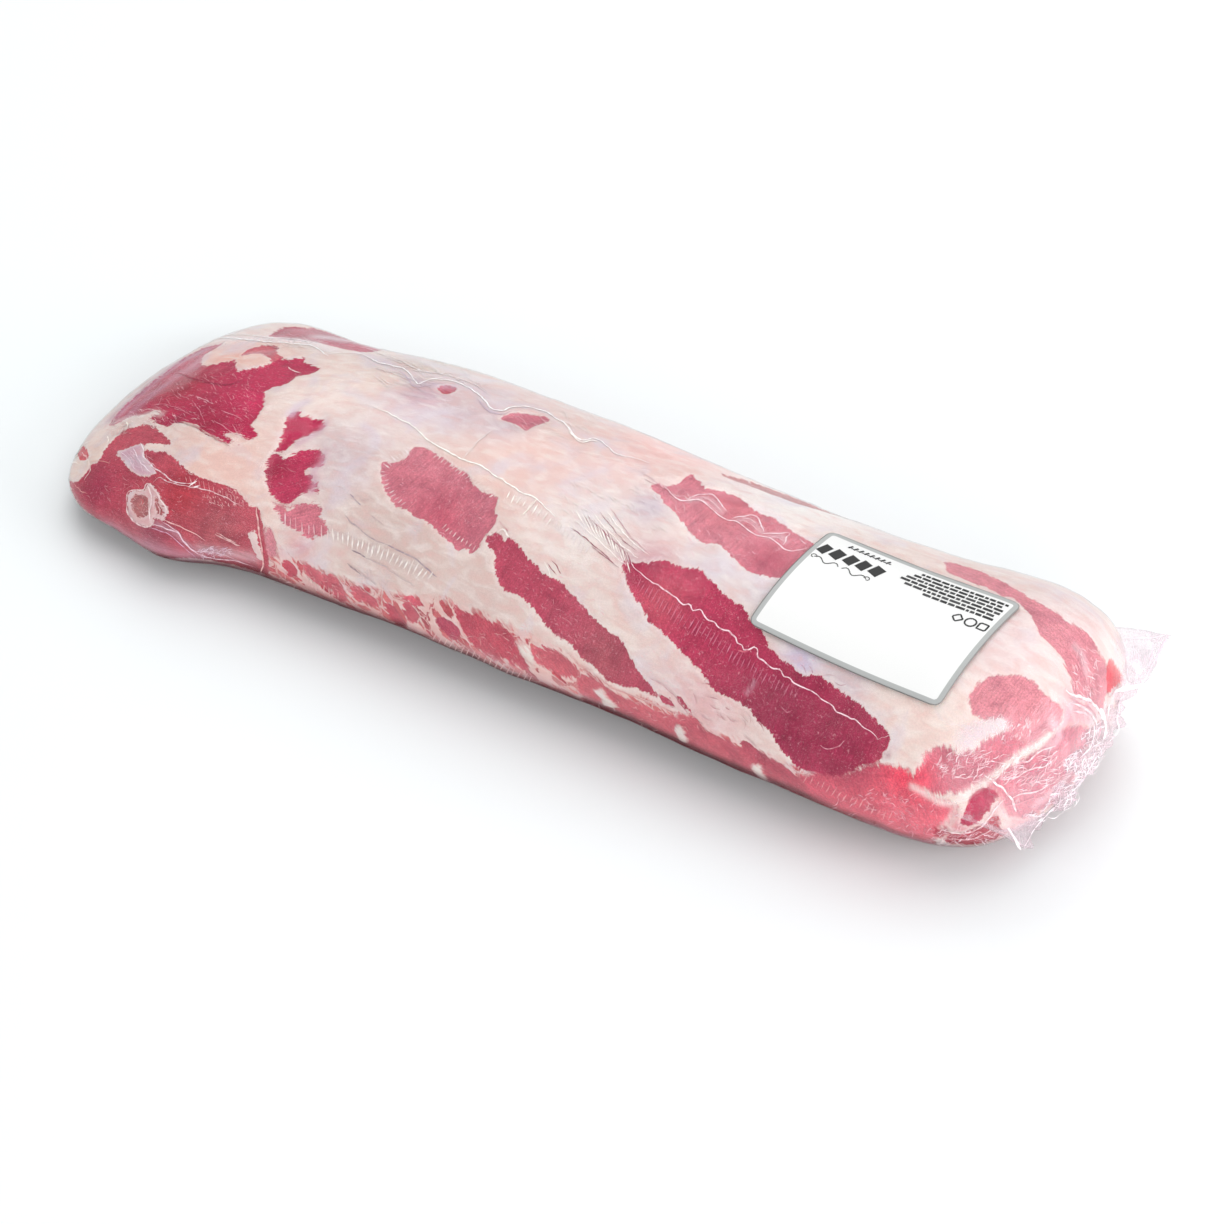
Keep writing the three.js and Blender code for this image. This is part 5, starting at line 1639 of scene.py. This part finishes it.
def makeCreases():
    roll = np.random.default_rng(7)
    strips = StripSet()
    for i, (tone, share, width, at) in enumerate(creaseLines):
        jagged = zigzag["waver"] if len(at) > zigzag["points"] else zigzag["others"]
        addRidge(strips, smoothOutline(at, closed=False, perSpan=4), tone, share, width, waver=jagged,
                 seed=20 + i)
    for tone, share, width, spacing, first, second in ribRows:
        length = np.linalg.norm(np.diff(np.array(first, float), axis=0), axis=1).sum()
        count = max(int(length / spacing), 2)
        starts, ends = ribEnds(first, count, roll), ribEnds(second, count, roll)
        for a, b in zip(starts, ends):
            cut = 0.28 * roll.random(2)
            a, b = a + (b - a) * cut[0], b + (a - b) * cut[1]
            bend = (a + b) / 2 + 0.6 * (roll.random(2) - 0.5)
            pixels = smoothThrough(np.array([a, bend, b]), np.linspace(0, 1, 9))
            addRidge(strips, pixels, tone, share * (0.6 + 0.4 * roll.random()), width, taper=2.5)
    for tone, share, width, at in tailLines:
        addRidge(strips, smoothOutline(at, closed=False, perSpan=4), tone, share, width, surface=tailSurface,
                 waver=0.3, seed=90)
    scatterCreases(strips, crinklesAndGlints, filmSurface, roll)
    scatterCreases(strips, tailCrinkles, tailSurface, roll)
    strips.build("film_pleats_and_painted_light", creaseMaterial())


makeCreases()
print("pleats")

# The paper label.


def paperMaterial():
    # Coated thermal label paper: bright white with a faint satin, and a printed grey frame.
    material, tree = newMaterial("coatedLabelPaper")
    place = addNode(tree, "Attribute", attribute_name="labelPlace").outputs["Vector"]
    split = addNode(tree, "SeparateXYZ", {0: place})
    # the third coordinate holds the distance to the label's edge in mm
    border = labelForm["border"]
    frameShare = addNode(tree, "MapRange", {0: split.outputs[2], 1: border - 0.12, 2: border + 0.12,
                                            3: 1.0, 4: 0.0}).outputs[0]
    rim = addNode(tree, "MapRange", {0: split.outputs[2], 1: 0.25, 2: 0.5, 3: 1.0, 4: 0.0}).outputs[0]
    grain = addNode(tree, "TexNoise", {"Vector": place, "Scale": 2.2, "Detail": 3.0}).outputs["Fac"]
    grainLight = addNode(tree, "MapRange", {0: grain, 1: 0.3, 2: 0.7, 3: 0.97, 4: 1.0}).outputs[0]
    white = addNode(tree, "Mix", {0: 1.0, 6: hexLinear("#e8e7e6"), 7: grainLight},
                    data_type="RGBA", blend_type="MULTIPLY").outputs[2]
    framed = addNode(tree, "Mix", {0: frameShare, 6: white, 7: hexLinear("#a9aaa9")},
                     data_type="RGBA").outputs[2]
    rimmed = addNode(tree, "Mix", {0: rim, 6: framed, 7: hexLinear("#868381")}, data_type="RGBA").outputs[2]
    bump = addNode(tree, "Bump", {"Height": grain, "Strength": 0.08, "Distance": 0.0002})
    paper = addNode(tree, "BsdfPrincipled", {"Base Color": rimmed, "Roughness": 0.42,
                                             "Normal": bump.outputs[0]})
    addNode(tree, "OutputMaterial", {"Surface": paper.outputs[0]})
    return material


def makeLabel():
    # A rounded rectangle walked over the skin: rows shorten near the corners, and top and underside
    # join at the rim.
    long0, wide0 = labelForm["size"]
    steps, rows = labelForm["steps"]
    wide = np.linspace(-wide0 / 2, wide0 / 2, rows)
    corner = labelForm["corner"]
    past = np.maximum(np.abs(wide) - (wide0 / 2 - corner), 0)
    half = long0 / 2 - (corner - np.sqrt(np.maximum(corner ** 2 - past ** 2, 0)))
    long = np.linspace(-1, 1, steps)[None, :] * half[:, None]
    wideGrid = np.broadcast_to(wide[:, None], long.shape)
    sides = [labelPoint(long.ravel(), wideGrid.ravel(), lift).reshape(rows, steps, 3)
             for lift in (labelForm["lift"] + labelForm["thickness"], labelForm["lift"] * 0.2)]
    ring = np.concatenate([sides[0], sides[1][:, ::-1]], axis=1)
    edge = np.minimum(half[:, None] - np.abs(long), wide0 / 2 - np.abs(wideGrid))
    nearCorner = (np.abs(long) > long0 / 2 - corner) & (np.abs(wideGrid) > wide0 / 2 - corner)
    cornerGap = corner - np.hypot(np.abs(long) - (long0 / 2 - corner),
                                  np.abs(wideGrid) - (wide0 / 2 - corner))
    edge = np.where(nearCorner, cornerGap, edge)
    place = np.stack([long, wideGrid, edge], -1)
    place = np.concatenate([place, place[:, ::-1]], axis=1)
    points = np.concatenate([ring.reshape(-1, 3), ring[:1].mean(1), ring[-1:].mean(1)])
    places = np.concatenate([place.reshape(-1, 3), place[:1].mean(1), place[-1:].mean(1)])
    label = makePiece("paper_label", points, tubeFaces(rows, 2 * steps), paperMaterial())
    giveAttribute(label, "labelPlace", places)
    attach(label, "root")
    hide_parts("label")


def inkMaterial():
    # Black thermal print: matt, very slightly grey.
    material, tree = newMaterial("blackThermalPrint")
    tone = addNode(tree, "Attribute", attribute_name="tone").outputs["Color"]
    ink = addNode(tree, "BsdfPrincipled", {"Base Color": tone, "Roughness": 0.6})
    addNode(tree, "OutputMaterial", {"Surface": ink.outputs[0]})
    return material


inkProfile = np.array([(0.5, 0.0), (0.5, 0.1), (-0.5, 0.1), (-0.5, 0.0)])
printForm = {
    "lift": 0.78,
    "rowTop": 30.0,
    "rowStep": 2.5,
    "rowStarts": (2.0, -0.5, -3.0, -4.5, -1.0, 10.0),
    "rowEnd": 45.8,
    "rowTall": 1.45,
    "headingBlocks": ((-46.5, 5.0), (-40.0, 6.0), (-32.5, 5.6), (-25.6, 5.4), (-18.8, 6.0)),
    "headingWide": 20.0,
    "headingTall": 6.4,
}


def addInk(strips, corners, width, tone="#1b1a1b"):
    # A flat ribbon along label points, walked every 1.2 mm.
    corners = np.array(corners, float)
    walked = np.concatenate([[0], np.cumsum(np.linalg.norm(np.diff(corners, axis=0), axis=1))])
    count = max(int(walked[-1] / 1.2), 1) + 2
    at = np.linspace(0, walked[-1], count)
    long, wide = (np.interp(at, walked, corners[:, i]) for i in (0, 1))
    path = labelPoint(long, wide, printForm["lift"])
    normals = labelPoint(long, wide, printForm["lift"] + 1) - path
    profile = inkProfile * np.array([width, 1.0])
    under = np.tile(hexLinear(tone), (count, 1))
    strips.add(*carryProfile(path, normals, profile, np.ones(count)), tone, 1.0, normals, under)


def makePrint():
    # Abstract print in the places where a label carries it: a row of slanted blocks, a scroll, rows of dashes
    # and three plain marks.
    roll = np.random.default_rng(3)
    strips = StripSet()
    middle, tall = printForm["headingWide"], printForm["headingTall"]
    for start, width in printForm["headingBlocks"]:
        lean = 1.1
        addInk(strips, [(start + width / 2 - lean, middle - tall / 2), (start + width / 2 + lean,
                                                                        middle + tall / 2)],
               width * 0.92)
    for start in np.arange(-36.0, -14.0, 2.9):
        addInk(strips, [(start, 27.6), (start + 1.3, 29.9)], 1.0)
        addInk(strips, [(start + 1.3, 28.0), (start + 2.4, 28.3)], 0.5)
    sway = np.linspace(0, 1, 40)
    for flip in (1, -1):
        scroll = np.stack([-31 + flip * (1 + 13 * sway),
                           12.6 + 1.7 * np.sin(2 * np.pi * sway * 1.5) * (1 - 0.3 * sway)], 1)
        addInk(strips, scroll, 0.45)
        curl = sway * 1.6 * np.pi
        spiral = np.stack([-31 + flip * (14.5 - 1.7 * (1 - 0.5 * sway) * np.cos(curl)),
                           12.8 + 1.7 * (1 - 0.5 * sway) * np.sin(curl)], 1)
        addInk(strips, spiral, 0.4)
    for row, start in enumerate(printForm["rowStarts"]):
        wide = printForm["rowTop"] - row * printForm["rowStep"]
        at = start
        while at < printForm["rowEnd"] - 1.5:
            length = min(1.2 + 4.2 * roll.random(), printForm["rowEnd"] - at)
            tone = "#1b1a1b" if row < 2 or roll.random() < 0.4 else "#3a393a"
            addInk(strips, [(at, wide), (at + length, wide)], printForm["rowTall"], tone)
            at += length + 0.7
    for centre, corners in ((31.5, 4), (38.0, 24), (44.0, 4)):
        turn = np.linspace(0, 2 * np.pi, corners + 1) + (0 if centre < 35 else np.pi / 4)
        reach = 2.6 if centre < 42 else 2.9
        addInk(strips, np.stack([centre + reach * np.cos(turn), 11.2 + reach * np.sin(turn)], 1), 0.8)
    strips.build("label_print", inkMaterial())


makeLabel()
makePrint()
print("label")

# The floor, the light and the camera.


def makeStudio():
    material, tree = newMaterial("paleStudioFloor")
    paint = addNode(tree, "BsdfPrincipled", {"Base Color": hexLinear("#eceff0"), "Roughness": 0.9})
    addNode(tree, "OutputMaterial", {"Surface": paint.outputs[0]})
    reach = 6000.0
    corners = np.array([(-reach, -reach, 0), (reach, -reach, 0), (reach, reach, 0), (-reach, reach, 0)])
    floor = makePiece("floor", corners, [(0, 1, 2, 3)], material)

    scene = bpy.context.scene
    scene.world = bpy.data.worlds.new("studio")
    scene.world.use_nodes = True
    sky = scene.world.node_tree.nodes["Background"]
    sky.inputs["Color"].default_value = hexLinear("#fafeff")
    sky.inputs["Strength"].default_value = 0.485
    lamps = {
        # name: place in metres, aim, side of the square, watts
        "topSoftbox": ((-0.3, 0.2, 1.9), (0, 0, 0), 1.4, 9.2),
        "rightSoftbox": ((2.3, 0.3, 0.7), (0, 0, 0), 1.4, 30.0),
        "frontRightSoftbox": ((1.3, -1.9, 0.9), (0, 0, 0), 1.4, 21.5),
        "frontLeftSoftbox": ((-1.2, -1.9, 0.9), (0, 0, 0), 1.4, 6.9),
        "backRightSoftbox": ((0.9, 1.3, 1.6), (0, 0, 0), 1.6, 8.1),
        "backLeftSoftbox": ((-0.9, 1.3, 1.6), (0, 0, 0), 1.6, 14.0),
    }
    for name, (at, aim, side, watts) in lamps.items():
        light = bpy.data.lights.new(name, "AREA")
        light.shape = "SQUARE"
        light.size = side
        light.energy = watts
        lamp = bpy.data.objects.new(name, light)
        lamp.location = at
        direction = bpy.data.objects.new(name + "Aim", None).location - lamp.location
        lamp.rotation_euler = (direction + type(direction)(aim)).to_track_quat("-Z", "Y").to_euler()
        scene.collection.objects.link(lamp)


def makeCamera():
    scene = bpy.context.scene
    lens = bpy.data.cameras.new("photoCamera")
    lens.lens = photoView["lens"]
    lens.sensor_width = photoView["sensor"]
    lens.clip_end = 50
    camera = bpy.data.objects.new("photoCamera", lens)
    axes = np.stack([viewRight, viewUp, viewBack], 1)
    matrix = np.eye(4)
    matrix[:3, :3] = axes
    matrix[:3, 3] = eye * metre
    camera.matrix_world = type(camera.matrix_world)(matrix.tolist())
    scene.collection.objects.link(camera)
    scene.camera = camera
    scene.view_settings.view_transform = "Standard"


makeStudio()
makeCamera()
print("studio")
